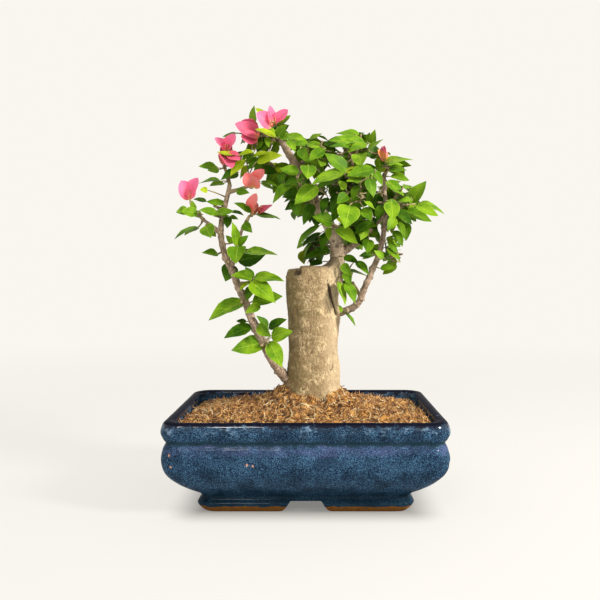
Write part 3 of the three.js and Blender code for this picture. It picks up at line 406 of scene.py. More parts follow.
BLOSSOMS = [
    ("left_outer_spray", [
        (-103, -12, 262, -111, -17, 278, 18, 12, "pink"),
        (-103, -14, 262, -94, -20, 280, 17, 34, "pink"),
        (-6, 190, 199, 189, 183, 12, "pink"),
    ]),
    ("left_top_spray", [
        (-8, 227, 153, 213.5, 138.3, 11, "pink"),
        (-9, 228, 153, 237.4, 134.4, 11, "pink"),
        (-2, 227, 153, 225, 140, 12, "pink"),
    ]),
    ("left_top_spray", [
        (-17, 221, 152.5, 230.5, 170, 11, "rose"),
        (-18, 228, 153, 240, 161, 10, "rose"),
        (-12, 221, 153, 222, 166, 8, "coral"),
    ]),
    ("left_top_inner", [
        (-15, 254, 186, 265, 169.6, 11, "coral"),
        (-14, 252, 186, 245.3, 172, 12, "coral"),
        (-18, 253, 187, 254, 174, 14, "coral"),
    ]),
    ("left_inner_spray", [
        (-18, 253, 215, 258, 193.5, 10, "coral"),
        (-18, 257, 213, 273, 206, 9, "rose"),
        (-12, 252, 215, 251, 199, 8, "coral"),
    ]),
    ("crown_left_tip", [
        (-42, -12, 317, -64, -18, 326, 20, 18, "rose"),
        (-43, -15, 315, -58, -20, 315, 14, 20, "rose"),
        (-44, -6, 323, -59, -10, 331, 15, 22, "rose"),
    ]),
    ("crown_left_tip", [
        (-31, -8, 327, -34, -13, 345, 13, 30, "pink"),
        (-28, -9, 328, -16, -14, 341, 14, 40, "pink"),
        (-11, 272, 127.5, 255.5, 113.6, 15, "pink"),
    ]),
    ("crown_right_top", [
        (-17, 385, 162, 386.4, 146, 6, "pink"),
        (-18, 384, 161, 376.5, 150, 9, "amber"),
        (-12, 385, 161, 380, 147, 6, "coral"),
    ]),
]
# Places kept clear of leaves that only the growing rule sets: X, Z, radius, and the depth Y that only
# leaves in front of are kept out.
CLEAR = [
    (21.6, 304.3, 5, 99), (13.6, 266, 5, 99), (-19, 233, 16, 99), (-22, 306, 5, -4), (-19, 297, 5, -4),
    (-1.5, 270.6, 6, -2), (5.6, 257, 6, -2), (16, 243, 5, 0), (24, 226, 8, 2), (27, 214, 9, 2),
    (69, 288, 5, -8), (70.5, 276, 5, -8), (70.5, 266, 5, -8), (69.6, 231, 5, -10), (65, 218, 6, -10),
    (61.6, 206.6, 7, -12), (55, 192, 7, -12), (-54, 323, 9, -2), (-38, 331, 7, -4), (67, 301, 6, -10),
    (60.8, 223.4, 4, 99), (49.2, 190.6, 7, 99), (44, 219, 5, 99), (36, 178, 6, 99), (109, 247, 9, 16),
    (118, 251, 8, 40),
]


# ------------------------------------------------------------------ numbers and shapes
def stream(seed):
    """Seeded random numbers from 0 to 1, the same as in the part's source."""
    mask = 0xFFFFFFFF
    state = seed & mask

    def draw():
        nonlocal state
        state = (state + 0x6D2B79F5) & mask
        t = state
        t = ((t ^ (t >> 15)) * (t | 1)) & mask
        t ^= (t + (((t ^ (t >> 7)) * (t | 61)) & mask)) & mask
        return (t ^ (t >> 14)) / 2**32

    return draw


def drawn(draw, rows, columns):
    """A table of random numbers, drawn row by row."""
    return np.array([[draw() for _ in range(columns)] for _ in range(rows)])


def unit(vectors):
    """Vectors over their lengths."""
    return vectors / np.maximum(np.linalg.norm(vectors, axis=-1, keepdims=True), 1e-9)


def squared(along, face):
    """The part of `along` square to `face`, as unit vectors."""
    return unit(along - (along * face).sum(-1, keepdims=True) * face)


def smooth_step(low, high, x):
    """0 below `low`, 1 above `high`, and 3s^2 - 2s^3 of the share s between them."""
    s = np.clip((x - low) / (high - low), 0, 1)
    return s * s * (3 - 2 * s)


def noise(points, size, seed=0):
    """Smooth noise from -1 to 1: random values on a lattice of that size, blended by a smooth step
    between the eight corners round each point."""
    scaled = points / np.asarray(size, float)
    cell = np.floor(scaled).astype(np.int64)
    share = scaled - cell
    share = share * share * (3 - 2 * share)
    total = np.zeros(points.shape[:-1])
    for corner in itertools.product((0, 1), repeat=3):
        h = np.bitwise_xor.reduce((cell + corner) * (73856093, 19349663, 83492791), axis=-1)
        h = h ^ (seed * 2654435)
        h = ((h ^ (h >> 13)) * 1274126177) & 0xFFFFFFFF
        h ^= h >> 16
        total += np.prod(np.where(corner, share, 1 - share), axis=-1) * ((h & 0xFFFF) / 32767.5 - 1)
    return total


def layered(points, size, layers, seed=0):
    """Noise of `layers` sizes, each half as large and half as strong as the one before."""
    size = np.asarray(size, float)
    return sum(noise(points, size / 2**k, seed + k) / 2**k for k in range(layers))


def smooth_curve(points, t):
    """Points of a curve through `points`. t from 0 to 1 is shared evenly among the gaps, and each
    gap is a cubic whose slopes are half the chord between the neighbours."""
    p = np.asarray(points, float)
    p = np.vstack([2 * p[0] - p[1], p, 2 * p[-1] - p[-2]])
    gaps = len(points) - 1
    x = np.clip(np.asarray(t, float) * gaps, 0, gaps)
    i = np.minimum(x.astype(int), gaps - 1)
    f = (x - i)[..., None]
    a, b, c, d = p[i], p[i + 1], p[i + 2], p[i + 3]
    return 0.5 * (2 * b + (c - a) * f + (2 * a - 5 * b + 4 * c - d) * f**2 + (3 * b - a - 3 * c + d) * f**3)


def bowed(start, end, heading, count=8):
    """Curves of three control points: they leave `start` along `heading` and end in `end`."""
    bend = start + heading * np.linalg.norm(end - start, axis=-1, keepdims=True) * 0.5
    t = np.linspace(0, 1, count)[:, None]
    start, bend, end = (place[..., None, :] for place in (start, bend, end))
    return (1 - t) ** 2 * start + 2 * t * (1 - t) * bend + t**2 * end


def ring_angles(count):
    """Bearings of points evenly round a ring, in radians."""
    return np.linspace(0, 2 * np.pi, count, endpoint=False)


def tube(path, radii, sides):
    """Rings round paths: the centre, plus the radius times the cosine and sine of the bearing along two
    directions square to the path. The first is also square to the axis that the path keeps furthest
    from, so it turns little along the way. `radii` may differ round the ring."""
    tangent = unit(np.gradient(path, axis=-2))
    chord = np.abs(path[..., -1, :] - path[..., 0, :])
    least = np.eye(3)[np.argmin(chord, axis=-1)]
    across = unit(np.cross(least[..., None, :], tangent))
    other = np.cross(tangent, across)
    turn = ring_angles(sides)[:, None]
    radii = np.asarray(radii, float)
    if radii.ndim < path.ndim:
        radii = radii[..., None]
    rim = across[..., None, :] * np.cos(turn) + other[..., None, :] * np.sin(turn)
    return path[..., None, :] + rim * radii[..., None]


# ------------------------------------------------------------------ meshes
class Pile:
    """Points and faces of one piece, gathered from many surfaces. `relief` is a number for each point
    that the piece's material reads."""

    def __init__(self, grids=None, relief=None):
        self.points, self.quads, self.triangles, self.uv = [], [], [], []
        self.relief = relief
        if grids is not None:
            self.grid(grids)

    def add(self, points, quads, triangles, uv=None):
        """Adds copies of one surface: points (copies, n, 3), and faces that index one copy."""
        copies, size = points.shape[:2]
        starts = sum(len(block) for block in self.points) + size * np.arange(copies)[:, None, None]
        self.points.append(points.reshape(-1, 3))
        self.quads.append((np.asarray(quads)[None] + starts).reshape(-1, 4))
        self.triangles.append((np.asarray(triangles)[None] + starts).reshape(-1, 3))
        if uv is not None:
            self.uv.append(np.broadcast_to(uv, (copies, size, 2)).reshape(-1, 2))

    def grid(self, points):
        """Adds grids of points (copies, rows, columns, 3). The last column joins the first, and the
        first and last rows are closed by fans."""
        copies, rows, columns = points.shape[:3]
        start = np.arange(rows - 1)[:, None] * columns
        here = (start + np.arange(columns)).ravel()
        there = (start + (np.arange(columns) + 1) % columns).ravel()
        k = np.arange(1, columns - 1)
        last = (rows - 1) * columns
        fans = [np.stack([0 * k, k + 1, k], 1), np.stack([last + 0 * k, last + k, last + k + 1], 1)]
        quads = np.stack([here, there, there + columns, here + columns], 1)
        self.add(points.reshape(copies, -1, 3), quads, np.vstack(fans))


def put(name, pile, finish, replaced=(), smooth=True, crease=None):
    """Makes a pile one mesh piece on the body "root". Edges that turn by more than `crease` degrees
    are shaded sharp."""
    quads, triangles, points = (np.vstack(rows) for rows in (pile.quads, pile.triangles, pile.points))
    corners = np.concatenate([quads.ravel(), triangles.ravel()])
    starts = np.concatenate([4 * np.arange(len(quads)), 4 * len(quads) + 3 * np.arange(len(triangles))])
    mesh = bpy.data.meshes.new(name)
    mesh.vertices.add(len(points))
    mesh.vertices.foreach_set("co", (points * MM).astype(np.float32).ravel())
    mesh.loops.add(len(corners))
    mesh.loops.foreach_set("vertex_index", corners.astype(np.int32))
    mesh.polygons.add(len(starts))
    mesh.polygons.foreach_set("loop_start", starts.astype(np.int32))
    mesh.update(calc_edges=True)
    mesh.polygons.foreach_set("use_smooth", np.full(len(starts), smooth))
    if pile.uv:
        layer = mesh.uv_layers.new(name="UVMap")
        layer.data.foreach_set("uv", np.vstack(pile.uv)[corners].astype(np.float32).ravel())
    if pile.relief is not None:
        relief = mesh.attributes.new("relief", "FLOAT", "POINT")
        relief.data.foreach_set("value", pile.relief.astype(np.float32).ravel())
    if crease:
        mesh.set_sharp_from_angle(angle=math.radians(crease))
    mesh.materials.append(finish)
    piece = bpy.data.objects.new(name, mesh)
    bpy.context.scene.collection.objects.link(piece)
    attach(piece, "root")
    if replaced:
        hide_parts(*replaced)
    return piece


# ------------------------------------------------------------------ finishes
class Finish:
    """A Principled material and short ways to add its nodes. Sizes of patterns are in millimetres, and
    places are in metres, as the nodes read them."""

    def __init__(self, name, roughness, **fixed):
        self.material = bpy.data.materials.new(name)
        self.material.use_nodes = True
        self.tree = self.material.node_tree
        self.shader = next(n for n in self.tree.nodes if n.type == "BSDF_PRINCIPLED")
        self.place = self.tree.nodes.new("ShaderNodeTexCoord").outputs["Object"]
        self.base = None
        self.feed(self.shader.inputs["Roughness"], roughness)
        for label, value in fixed.items():
            self.shader.inputs[label.replace("_", " ")].default_value = value

    def feed(self, socket, value):
        """Gives a socket a fixed value or the output of another node."""
        if isinstance(value, bpy.types.NodeSocket):
            self.tree.links.new(value, socket)
        else:
            socket.default_value = value

    def node(self, kind, inputs, **settings):
        """A new node with its settings made and its inputs fed."""
        node = self.tree.nodes.new("ShaderNode" + kind)
        for label, value in settings.items():
            setattr(node, label, value)
        for label, value in inputs.items():
            self.feed(node.inputs[label], value)
        return node

    def noise(self, size, detail=3.0, stretch=(1, 1, 1), rough=0.55, shift=0.0):
        """Noise from 0 to 1 with patches about `size` mm wide, `stretch` times as long on each axis."""
        scale = tuple(1 / (size * MM * s) for s in stretch)
        spot = self.node("Mapping", {"Vector": self.place, "Scale": scale, "Location": (shift, shift, shift)})
        inputs = {"Vector": spot.outputs[0], "Scale": 1.0, "Detail": detail, "Roughness": rough}
        return self.node("TexNoise", inputs).outputs["Fac"]

    def patches(self, low, high, *noise_of, **more):
        """Noise sharpened to patches: 0 where it is under `low` and 1 where it is over `high`."""
        return self.span(self.noise(*noise_of, **more), low, high)

    def math(self, operation, a, b=0.0, c=0.0):
        """The output of one Math node."""
        return self.node("Math", {0: a, 1: b, 2: c}, operation=operation).outputs[0]

    def times(self, a, b):
        """The product of two values."""
        return self.math("MULTIPLY", a, b)

    def stirred(self, value, amount, *noise_of, **more):
        """A value plus `amount` of noise, so that its edges wander."""
        return self.math("MULTIPLY_ADD", self.noise(*noise_of, **more), amount, value)

    def span(self, value, low, high, to_low=0.0, to_high=1.0):
        """Maps low..high to 0..1, or to_low..to_high, with no overshoot."""
        inputs = {"Value": value, "From Min": low, "From Max": high, "To Min": to_low, "To Max": to_high}
        return self.node("MapRange", inputs, interpolation_type="SMOOTHSTEP").outputs["Result"]

    def mix(self, share, a, b):
        """Colour a, going over to b with the share."""
        node = self.tree.nodes.new("ShaderNodeMix")
        node.data_type = "RGBA"
        self.feed(node.inputs[0], share)
        for socket, colour in ((node.inputs[6], a), (node.inputs[7], b)):
            self.feed(socket, (*colour, 1.0) if isinstance(colour, tuple) else colour)
        return node.outputs[2]

    def paint(self, tint, share, most=1.0):
        """Lays a tint over the base colour so far, by a share from 0 to 1 of `most`."""
        self.base = self.mix(share if most == 1.0 else self.times(share, most), self.base, tint)

    def done(self, bump, strength, depth):
        """Sets the base colour and a bump of `depth` mm, and gives the material."""
        self.feed(self.shader.inputs["Base Color"], self.base)
        node = self.node("Bump", {"Height": bump, "Strength": strength, "Distance": depth * MM})
        self.feed(self.shader.inputs["Normal"], node.outputs[0])
        return self.material

    def axis(self, label, source=None):
        """One coordinate: X, Y or Z."""
        return self.node("SeparateXYZ", {0: source or self.place}).outputs[label]

    def distance(self, place, scale=(1, 1, 1)):
        """Distance in metres from a place in millimetres, on the axes whose scale is 1."""
        moved = tuple(-MM * p for p in place)
        flat = self.node("Mapping", {"Vector": self.place, "Location": moved, "Scale": scale})
        return self.node("VectorMath", {0: flat.outputs[0]}, operation="LENGTH").outputs["Value"]

    def blade_map(self):
        """On a leaf or bract: how far aside of the midrib, from 0 to 0.5, and how far along, from 0 to 1."""
        uv = self.tree.nodes.new("ShaderNodeUVMap").outputs[0]
        aside = self.math("ABSOLUTE", self.math("SUBTRACT", self.axis("X", uv), 0.5))
        return aside, self.axis("Y", uv)

    def relief(self):
        """The height of the piece's relief, in mm."""
        node = self.tree.nodes.new("ShaderNodeAttribute")
        node.attribute_name = "relief"
        return node.outputs["Fac"]


def glaze_finish():
    """Mottled blue glaze: speckles of navy and pale blue, near black on the rim's top and edges, where it ran
    thin and painted dark reflection darkens it too, darker in the groove and towards the bottom, violet in a
    band under the groove, and bare clay below."""
    f = Finish("blue_glaze", 0.2, IOR=1.02, Coat_Roughness=0.06)
    height = f.axis("Z")
    speck = f.patches(0.46, 0.62, 0.85, rough=0.85)
    cloud = f.patches(0.34, 0.62, 16.0, 4.0, rough=0.6)
    pale_blue = f.mix(speck, (0.005, 0.014, 0.040), (0.085, 0.200, 0.33))
    deep_blue = f.mix(speck, (0.003, 0.008, 0.024), (0.036, 0.090, 0.150))
    f.base = f.mix(cloud, deep_blue, pale_blue)
    level = f.stirred(height, 0.008, 9.0)
    violet = f.times(f.span(level, 0.055, 0.060), f.span(level, 0.067, 0.0635))
    violet = f.times(violet, f.span(f.noise(26.0, 2.0, (1, 1, 0.3), shift=7.0), 0.40, 0.60, 0.25, 0.8))
    f.paint((0.135, 0.165, 0.36), f.times(violet, f.span(speck, 0.0, 1.0, 0.25, 0.7)))
    groove = f.times(f.span(level, 0.0625, 0.0650), f.span(level, 0.0690, 0.0665))
    f.paint((0.012, 0.035, 0.045), groove, 0.75)
    pale = f.patches(0.52, 0.66, 9.0, 5.0, (1, 1, 0.6), rough=0.7, shift=3.0)
    pale = f.times(pale, f.span(level, 0.070, 0.077))
    f.paint((0.20, 0.30, 0.42), pale, 0.75)
    dark = f.patches(0.53, 0.66, 7.0, 5.0, (1.6, 1.6, 1), rough=0.7, shift=13.0)
    dark = f.times(dark, f.span(level, 0.064, 0.074))
    f.paint((0.010, 0.020, 0.040), dark, 0.8)
    f.paint((0.004, 0.014, 0.022), f.span(level, 0.034, 0.012), 0.7)
    # painted dark reflection over glaze run thin: near black on the rim's top and edges
    rim_top = f.span(f.stirred(height, 0.012, 6.0, 4.0, shift=5.0), 0.0802, 0.0826)
    f.paint((0.006, 0.007, 0.016), rim_top)
    pits = None
    for x, z in GLAZE_PITS:
        gap = f.distance((x, 0, z), (1, 0, 1))
        pits = gap if pits is None else f.math("MINIMUM", pits, gap)
    pit = f.times(f.span(f.stirred(pits, 0.0030, 1.5), 0.0028, 0.0020), f.span(f.axis("Y"), -0.066, -0.072))
    f.paint((0.50, 0.27, 0.19), pit)
    bare = f.span(f.stirred(f.math("SUBTRACT", height, 0.0022), 0.0045, 7.0, 4.0, shift=9.0), 0.0056, 0.0048)
    f.paint(f.mix(f.noise(3.0, 4.0), (0.09, 0.034, 0.006), (0.26, 0.105, 0.018)), bare)
    rough = f.span(f.noise(4.0, shift=2.0), 0.3, 0.8, 0.12, 0.30)
    f.feed(f.shader.inputs["Roughness"], f.math("MAXIMUM", rough, f.times(bare, 0.85)))
    thick = f.times(f.span(height, 0.0700, 0.0735), f.span(height, 0.0772, 0.0760))
    film = f.span(height, 0.0772, 0.0755, 0.01, 0.10)
    f.feed(f.shader.inputs["Coat Weight"], f.math("MULTIPLY_ADD", thick, 0.5, film))
    return f.done(f.math("ADD", f.noise(2.2), f.times(pit, -0.8)), 0.35, 0.5)


def soil_finish():
    """Coir soil: rust, tan and dark brown patches, near black in the crevices and along the wall as painted
    shade.
    """
    f = Finish("coir_soil", 0.95)
    relief = f.relief()
    f.base = f.mix(f.patches(0.35, 0.65, 6.0, 5.0, rough=0.7), (0.13, 0.050, 0.010), (0.60, 0.28, 0.060))
    f.paint((0.72, 0.42, 0.12), f.patches(0.45, 0.62, 1.4, rough=0.7))
    f.paint((0.16, 0.050, 0.016), f.patches(0.50, 0.64, 13.0, shift=9.0), 0.45)
    # painted shade: near black where the relief is low, in crevices and along the wall
    f.paint((0.035, 0.015, 0.007), f.span(relief, 0.1, -0.9))
    return f.done(f.noise(0.9, 4.0, rough=0.7), 0.8, 0.8)


def bark_finish(name, colours, streak, sided=False, upper=None):
    """Bark: pale on its ridges, dark in its fissures, streaked along the limb, and olive where moss films it,
    with `sided` most of all towards -X, where the moss also stands as painted shade on the dark side; `sided`
    also paints the bark paler towards +X, as painted light on the lit side. It goes over to the colour
    `upper` with the height."""
    dark, middle, light, moss = colours
    f = Finish(name, 0.82)
    relief = f.relief()
    f.base = f.mix(f.patches(0.37, 0.64, 1.1, 5.0, (1, 1, streak), rough=0.75), middle, light)
    f.paint(middle, f.patches(0.38, 0.64, 9.0, 4.0, (1, 1, 2.0), shift=4.0), 0.55)
    moss_and_left_shade = f.noise(17.0, 4.0, shift=8.0)
    if sided:
        # painted shade: more dark moss on the left side, away from the light
        moss_and_left_shade = f.math("ADD", moss_and_left_shade, f.span(f.axis("X"), 0.010, -0.016, -0.10, 0.28))
    f.paint(moss, f.span(moss_and_left_shade, 0.50, 0.72), 0.75)
    f.paint(middle, f.patches(0.50, 0.66, 3.2, 4.0, (1.5, 1.5, 0.8), rough=0.7, shift=11.0), 0.6)
    if upper:
        f.paint(upper, f.span(f.axis("Z"), 0.226, 0.262, 0.0, 0.65))
    if sided:
        f.paint((0.22, 0.145, 0.06), f.patches(0.45, 0.57, 10.0, 3.0, (1, 1, 0.8), shift=21.0), 0.6)
        # pale spots on the bark
        pale_spots = f.patches(0.50, 0.70, 7.0, 5.0, (1.3, 1.3, 0.8), rough=0.7, shift=31.0)
        f.paint((0.85, 0.67, 0.38), pale_spots, 0.38)
        f.paint((0.26, 0.17, 0.08), f.patches(0.56, 0.68, 1.7, 3.0, (4, 4, 0.6), shift=41.0), 0.30)
        # painted light: paler towards +X, on the lit side
        f.paint((0.94, 0.76, 0.50), f.span(f.axis("X"), 0.010, 0.026, 0.0, 0.28))
    f.paint(light, f.span(relief, 0.55, 1.3), 0.6)
    f.paint(dark, f.span(relief, -0.15, -1.3))
    f.paint(dark, f.patches(0.63, 0.72, 0.7, 2.0, (1, 1, 1.6), shift=6.0), 0.5)
    return f.done(f.noise(0.8, 5.0, (1, 1, streak * 0.7), rough=0.7), 0.75, 0.55)


def sawn_wood_finish():
    """The weathered cut on the trunk's top: grey tan with dark cracks and faint rings."""
    f = Finish("sawn_wood", 0.85)
    warped = f.stirred(f.distance((4.8, 0, 0), (1, 1, 0)), 0.004, 12.0, 2.0)
    ring = f.span(f.math("SINE", f.times(warped, 3600.0)), -0.6, 0.9)
    f.base = f.mix(ring, (0.27, 0.19, 0.11), (0.42, 0.32, 0.20))
    f.paint((0.13, 0.085, 0.05), f.patches(0.52, 0.66, 2.0, 4.0, rough=0.7))
    return f.done(f.noise(1.0, 4.0), 0.8, 0.5)


def leaf_finish(name, shade, colour, margin):
    """A leaf: the blade between two greens in patches of painted sun and shade, a pale midrib and side veins,
    and a paler margin.
    """
    f = Finish(name, 0.5, Specular_IOR_Level=0.1)
    aside, along = f.blade_map()
    vein = f.math("SINE", f.times(f.math("SUBTRACT", along, f.times(aside, 0.55)), 44.0))
    vein = f.times(f.span(vein, 0.72, 1.0), f.span(aside, 0.5, 0.1, 0.0, 0.2))
    vein = f.math("MAXIMUM", f.span(aside, 0.035, 0.01, 0.0, 0.45), vein)
    # painted sun and shade: 14 mm patches between the shade green and the blade green
    f.base = f.mix(f.patches(0.36, 0.64, 14.0), shade, colour)
    f.paint(margin, vein)
    f.paint(margin, f.span(aside, 0.455, 0.495, 0.0, 0.55))
    return f.done(f.math("MULTIPLY_ADD", vein, -1.0, f.times(f.noise(3.0, 2.0), 0.5)), 0.5, 0.4)


def bract_finish(name, base, body, tip):
    """A papery bract: thin, finely veined, with another tint at its base."""
    f = Finish(name, 0.6, Sheen_Weight=0.15)
    aside, along = f.blade_map()
    slope = f.math("SUBTRACT", along, f.times(aside, 0.9))
    vein = f.span(f.math("SINE", f.times(slope, 52.0)), 0.5, 1.0, 0.0, 0.22)
    f.base = f.mix(f.span(f.stirred(along, 0.25, 4.0), 0.35, 1.0), body, tip)
    f.paint(base, f.span(along, 0.30, 0.02))
    f.paint(base, f.math("MAXIMUM", vein, f.span(aside, 0.04, 0.01, 0.0, 0.45)))
    return f.done(f.math("ADD", f.times(vein, -2.0), f.noise(1.6, 4.0)), 0.45, 0.35)


def fibre_finish(name, dark, light):
    """Dry fibre and crumbs between two browns."""
    f = Finish(name, 0.85)
    f.base = f.mix(f.patches(0.35, 0.65, 5.0, 2.0), dark, light)
    return f.done(f.noise(0.5, 2.0), 0.3, 0.1)


def tender_finish(name, dark, light):
    """Stalks and flowers: one colour going over to another in small patches."""
    f = Finish(name, 0.55)
    f.base = f.mix(f.patches(0.35, 0.65, 4.0), dark, light)
    return f.done(f.noise(0.6, 2.0), 0.2, 0.1)


# ------------------------------------------------------------------ pot
def outline(corner_steps, side_steps):
    """Round a rounded rectangle from its right back corner, counter-clockwise: the share of the way to
    each corner's centre in X and Y, and the bearing of the wall. Only one of them changes at a time."""
    signs = [(1, 1), (-1, 1), (-1, -1), (1, -1), (1, 1)]
    arc = np.arange(corner_steps) / corner_steps
    run = np.arange(side_steps) / side_steps
    shares, turns = [], []
    for quarter in range(4):
        here, there = np.array(signs[quarter]), np.array(signs[quarter + 1])
        shares += [np.tile(here, (corner_steps, 1)), here + (there - here) * run[:, None]]
        turns += [(quarter + arc) * np.pi / 2, np.full(side_steps, (quarter + 1) * np.pi / 2)]
    return np.vstack(shares), np.concatenate(turns)


def wall(track, height, inset):
    """A ring of a rounded rectangle: the corner's centre, plus its radius along the wall's bearing. The
    half sizes shrink by the inset, and the radius by a part of it."""
    shares, turns = track
    corner = np.maximum(POT_CORNER - POT_TIGHTEN * inset, 1.0)
    x = (POT_HALF[0] - inset - corner) * shares[:, 0] + corner * np.cos(turns)
    y = (POT_HALF[1] - inset - corner) * shares[:, 1] + corner * np.sin(turns)
    return np.stack(np.broadcast_arrays(x, y, height), -1)


def foot_edge(ring):
    """Height of the foot's lower edge: 0, rising in the middle of each side to the hollow's roof by a
    power of the share of the way up the gap's flank."""
    level = np.zeros(len(ring))
    for along, across, (foot, crown) in ((0, 1, FRONT_GAP), (1, 0, SIDE_GAP)):
        on_side = np.abs(ring[:, across]) > 0.9 * np.abs(ring[:, across]).max()
        share = np.clip((foot - np.abs(ring[:, along])) / (foot - crown), 0, 1)
        level = np.maximum(level, np.where(on_side, FOOT_HOLLOW * share**2.2, 0))
    return level


def pot():
    """The outside, rim and inside are rings along a smooth profile. Below the waist the rings are
    squeezed between the foot's lower edge and the waist, and the foot's sole, its inner wall and the
    hollow's roof close the shell. Low waves and two dents follow noise."""
    track = outline(14, 150)
    profile = smooth_curve(POT_OUTSIDE + POT_INSIDE, np.linspace(0, 1, 900))
    waist = int(np.argmax(profile[:, 0] > POT_WAIST))
    foot, body = profile[:waist], profile[waist:]
    body = body[np.linspace(0, len(body) - 1, 118).astype(int)]
    outer, inner = POT_OUTSIDE[0][1], POT_OUTSIDE[1][1] + FOOT_WIDTH
    edge = foot_edge(wall(track, 0.0, outer))
    roof = [(FOOT_HOLLOW, inner + 30 * share) for share in (1.0, 0.6, 0.25)]
    roof += [(FOOT_HOLLOW + (edge - FOOT_HOLLOW) * share, inner) for share in (0, 0.3, 0.6, 0.9)]
    roof += [(edge, inner - 1 + (outer - inner) * share) for share in (0, 0.5)]
    climb = [edge + (POT_WAIST - edge) * share for share in np.linspace(0, 1, 14, endpoint=False) ** 1.3]
    side = [(height, np.interp(height, foot[:, 0], foot[:, 1])) for height in climb]
    bottom, inset = POT_INSIDE[-1]
    floor = [(bottom, inset + 40 * share) for share in (0.35, 0.7, 1.0)]
    grid = np.stack([wall(track, height, inset) for height, inset in (*roof, *side, *body, *floor)])
    x, y, z = (grid[..., k] for k in range(3))
    belly = smooth_step(13, 20, z) * smooth_step(3, 0, np.abs(z - 48) / 11)
    wave = 0.45 * noise(grid, 38, 3) * belly + 0.16 * noise(grid, 9, 4) * smooth_step(1, 6, z)
    corner = np.exp(-(((x - 113) ** 2 + (y + 80) ** 2) / 130 + ((z - 44) / 17) ** 2))
    wave += corner * (1.3 * noise(grid, 7, 8) - 0.5)
    chipped = np.exp(-(((x - 84) ** 2 + (y + 55) ** 2) / 90 + (z / 7) ** 2))
    wave += chipped * (1.2 * noise(grid, 3, 9) - 0.6)
    wave[:len(roof)] = 0
    outward = np.stack([np.cos(track[1]), np.sin(track[1]), 0 * track[1]], -1)
    grid = grid + outward * wave[..., None]
    return put("glazed_pot", Pile(grid[None]), glaze_finish(), ["pot"])


def drill_drains(piece):
    """Cuts the two round drain holes through the bottom."""
    for x in DRAINS:
        bpy.ops.mesh.primitive_cylinder_add(
            vertices=40, radius=DRAIN_RADIUS * MM, depth=0.03, location=(x * MM, 0, FOOT_HOLLOW * MM)
        )
        drill = bpy.context.object
        cut = piece.modifiers.new("drain", "BOOLEAN")
        cut.operation = "DIFFERENCE"
        cut.solver = "MANIFOLD"
        cut.object = drill
        bpy.context.view_layer.objects.active = piece
        bpy.ops.object.modifier_apply(modifier=cut.name)
        bpy.data.objects.remove(drill)


# ------------------------------------------------------------------ soil
def soil_height(x, y):
    """The mound: a power of the share of the way from the wall to its middle, plus low waves, heaps by
    the trunk and the left branch, and clods and crevices by noise. Returns the height and the clods'
    part of it."""
    points = np.stack([x, y, 0 * x], -1)
    off = points[..., :2] - SOIL_MIDDLE
    share = np.clip((np.abs(off) / (SOIL_HALF - np.sign(off) * SOIL_MIDDLE)).max(-1), 0, 1)
    wave = np.sin(x / 13) * np.cos(y / 11) + 0.6 * np.sin(x / 29 + y / 17)
    level = SOIL_LEVEL - 1.0 - 4.0 * smooth_step(-0.3, 0.9, y / SOIL_HALF[1])
    mound = level + (SOIL_LEVEL + SOIL_CREST + 3 - level) * (1 - share**0.8) ** 1.15 + wave * (1 - share)
    mound = mound + 6.5 * np.exp(-((x + 19) ** 2 + (y + 4) ** 2) / 130)
    from_trunk = np.maximum(np.hypot(x - TRUNK_FOOT[0], y) - TRUNK_FOOT[1], 0)
    mound = mound + 6.5 * np.exp(-((from_trunk / 13) ** 2))
    clods = 1.6 * layered(points, 10, 2, 21) + 1.35 * layered(points, 3.8, 2, 23)
    clods = clods + 0.6 * noise(points, 1.3, 25)
    clods = clods * smooth_step(1.02, 0.9, share)
    return mound + clods - 0.4, clods


def soil():
    """Rings that shrink from the wall to the middle, at the mound's height, closed by a skirt and a
    flat bottom inside the pot."""
    track = outline(10, 118)
    rings = [wall(track, z, inset) for z, inset in ((24.0, 24.0), (40.0, 11.0), (62.0, SOIL_INSET))]
    relief = [np.full(len(rings[0]), -1.0)] * len(rings)
    for share in np.linspace(1, 0.012, 150):
        xy = SOIL_MIDDLE + share * (rings[2][:, :2] - SOIL_MIDDLE)
        height, clods = soil_height(xy[:, 0], xy[:, 1])
        rings.append(np.stack([xy[:, 0], xy[:, 1], height], -1))
        # the dip by the wall only darkens the soil's colour there, as painted shade
        relief.append(clods - 1.2 * smooth_step(0.97, 1.0, share))
    put("coir_soil", Pile(np.stack(rings)[None], np.concatenate(relief)), soil_finish(), ["soil"])


def scattered(count, draw):
    """Random places on the soil: X and Y inside the walls and outside the trunk."""
    places = (2 * drawn(draw, count, 2) - 1) * (SOIL_HALF - 2.5)
    return places[np.hypot(places[:, 0] - TRUNK_FOOT[0], places[:, 1]) > TRUNK_FOOT[1] + 4]


def fibres(kind, count, length, thick, dark, light, seed):
    """Coir fibres: three-sided bent threads. Each runs through five points that follow the soil's
    height, on a heading that swings to one side, with both ends lifted a little at random."""
    draw = stream(seed)
    places = scattered(count, draw)
    heading, long, bent, tip_up, foot_up = drawn(draw, len(places), 5).T[..., None]
    reach = length[0] + (length[1] - length[0]) * long**2
    step = np.linspace(-0.5, 0.5, 5)
    swing = heading * 2 * np.pi + (bent - 0.5) * 2.6 * step
    limit = SOIL_HALF - 1.0
    x = np.clip(places[:, :1] + reach * step * np.cos(swing), -limit[0], limit[0])
    y = np.clip(places[:, 1:] + reach * step * np.sin(swing), -limit[1], limit[1])
    lift = tip_up**4 * 5.0 * (step + 0.5) ** 2 + foot_up**5 * 3.0 * (0.5 - step) ** 2
    path = np.stack([x, y, soil_height(x, y)[0] + 0.25 + lift], -1)
    radii = thick * (0.6 + 0.8 * long) * np.array([0.5, 1, 1, 0.9, 0.4]) / 2
    put("fibres_" + kind, Pile(tube(path, radii, 3)), fibre_finish("fibre_" + kind, dark, light))


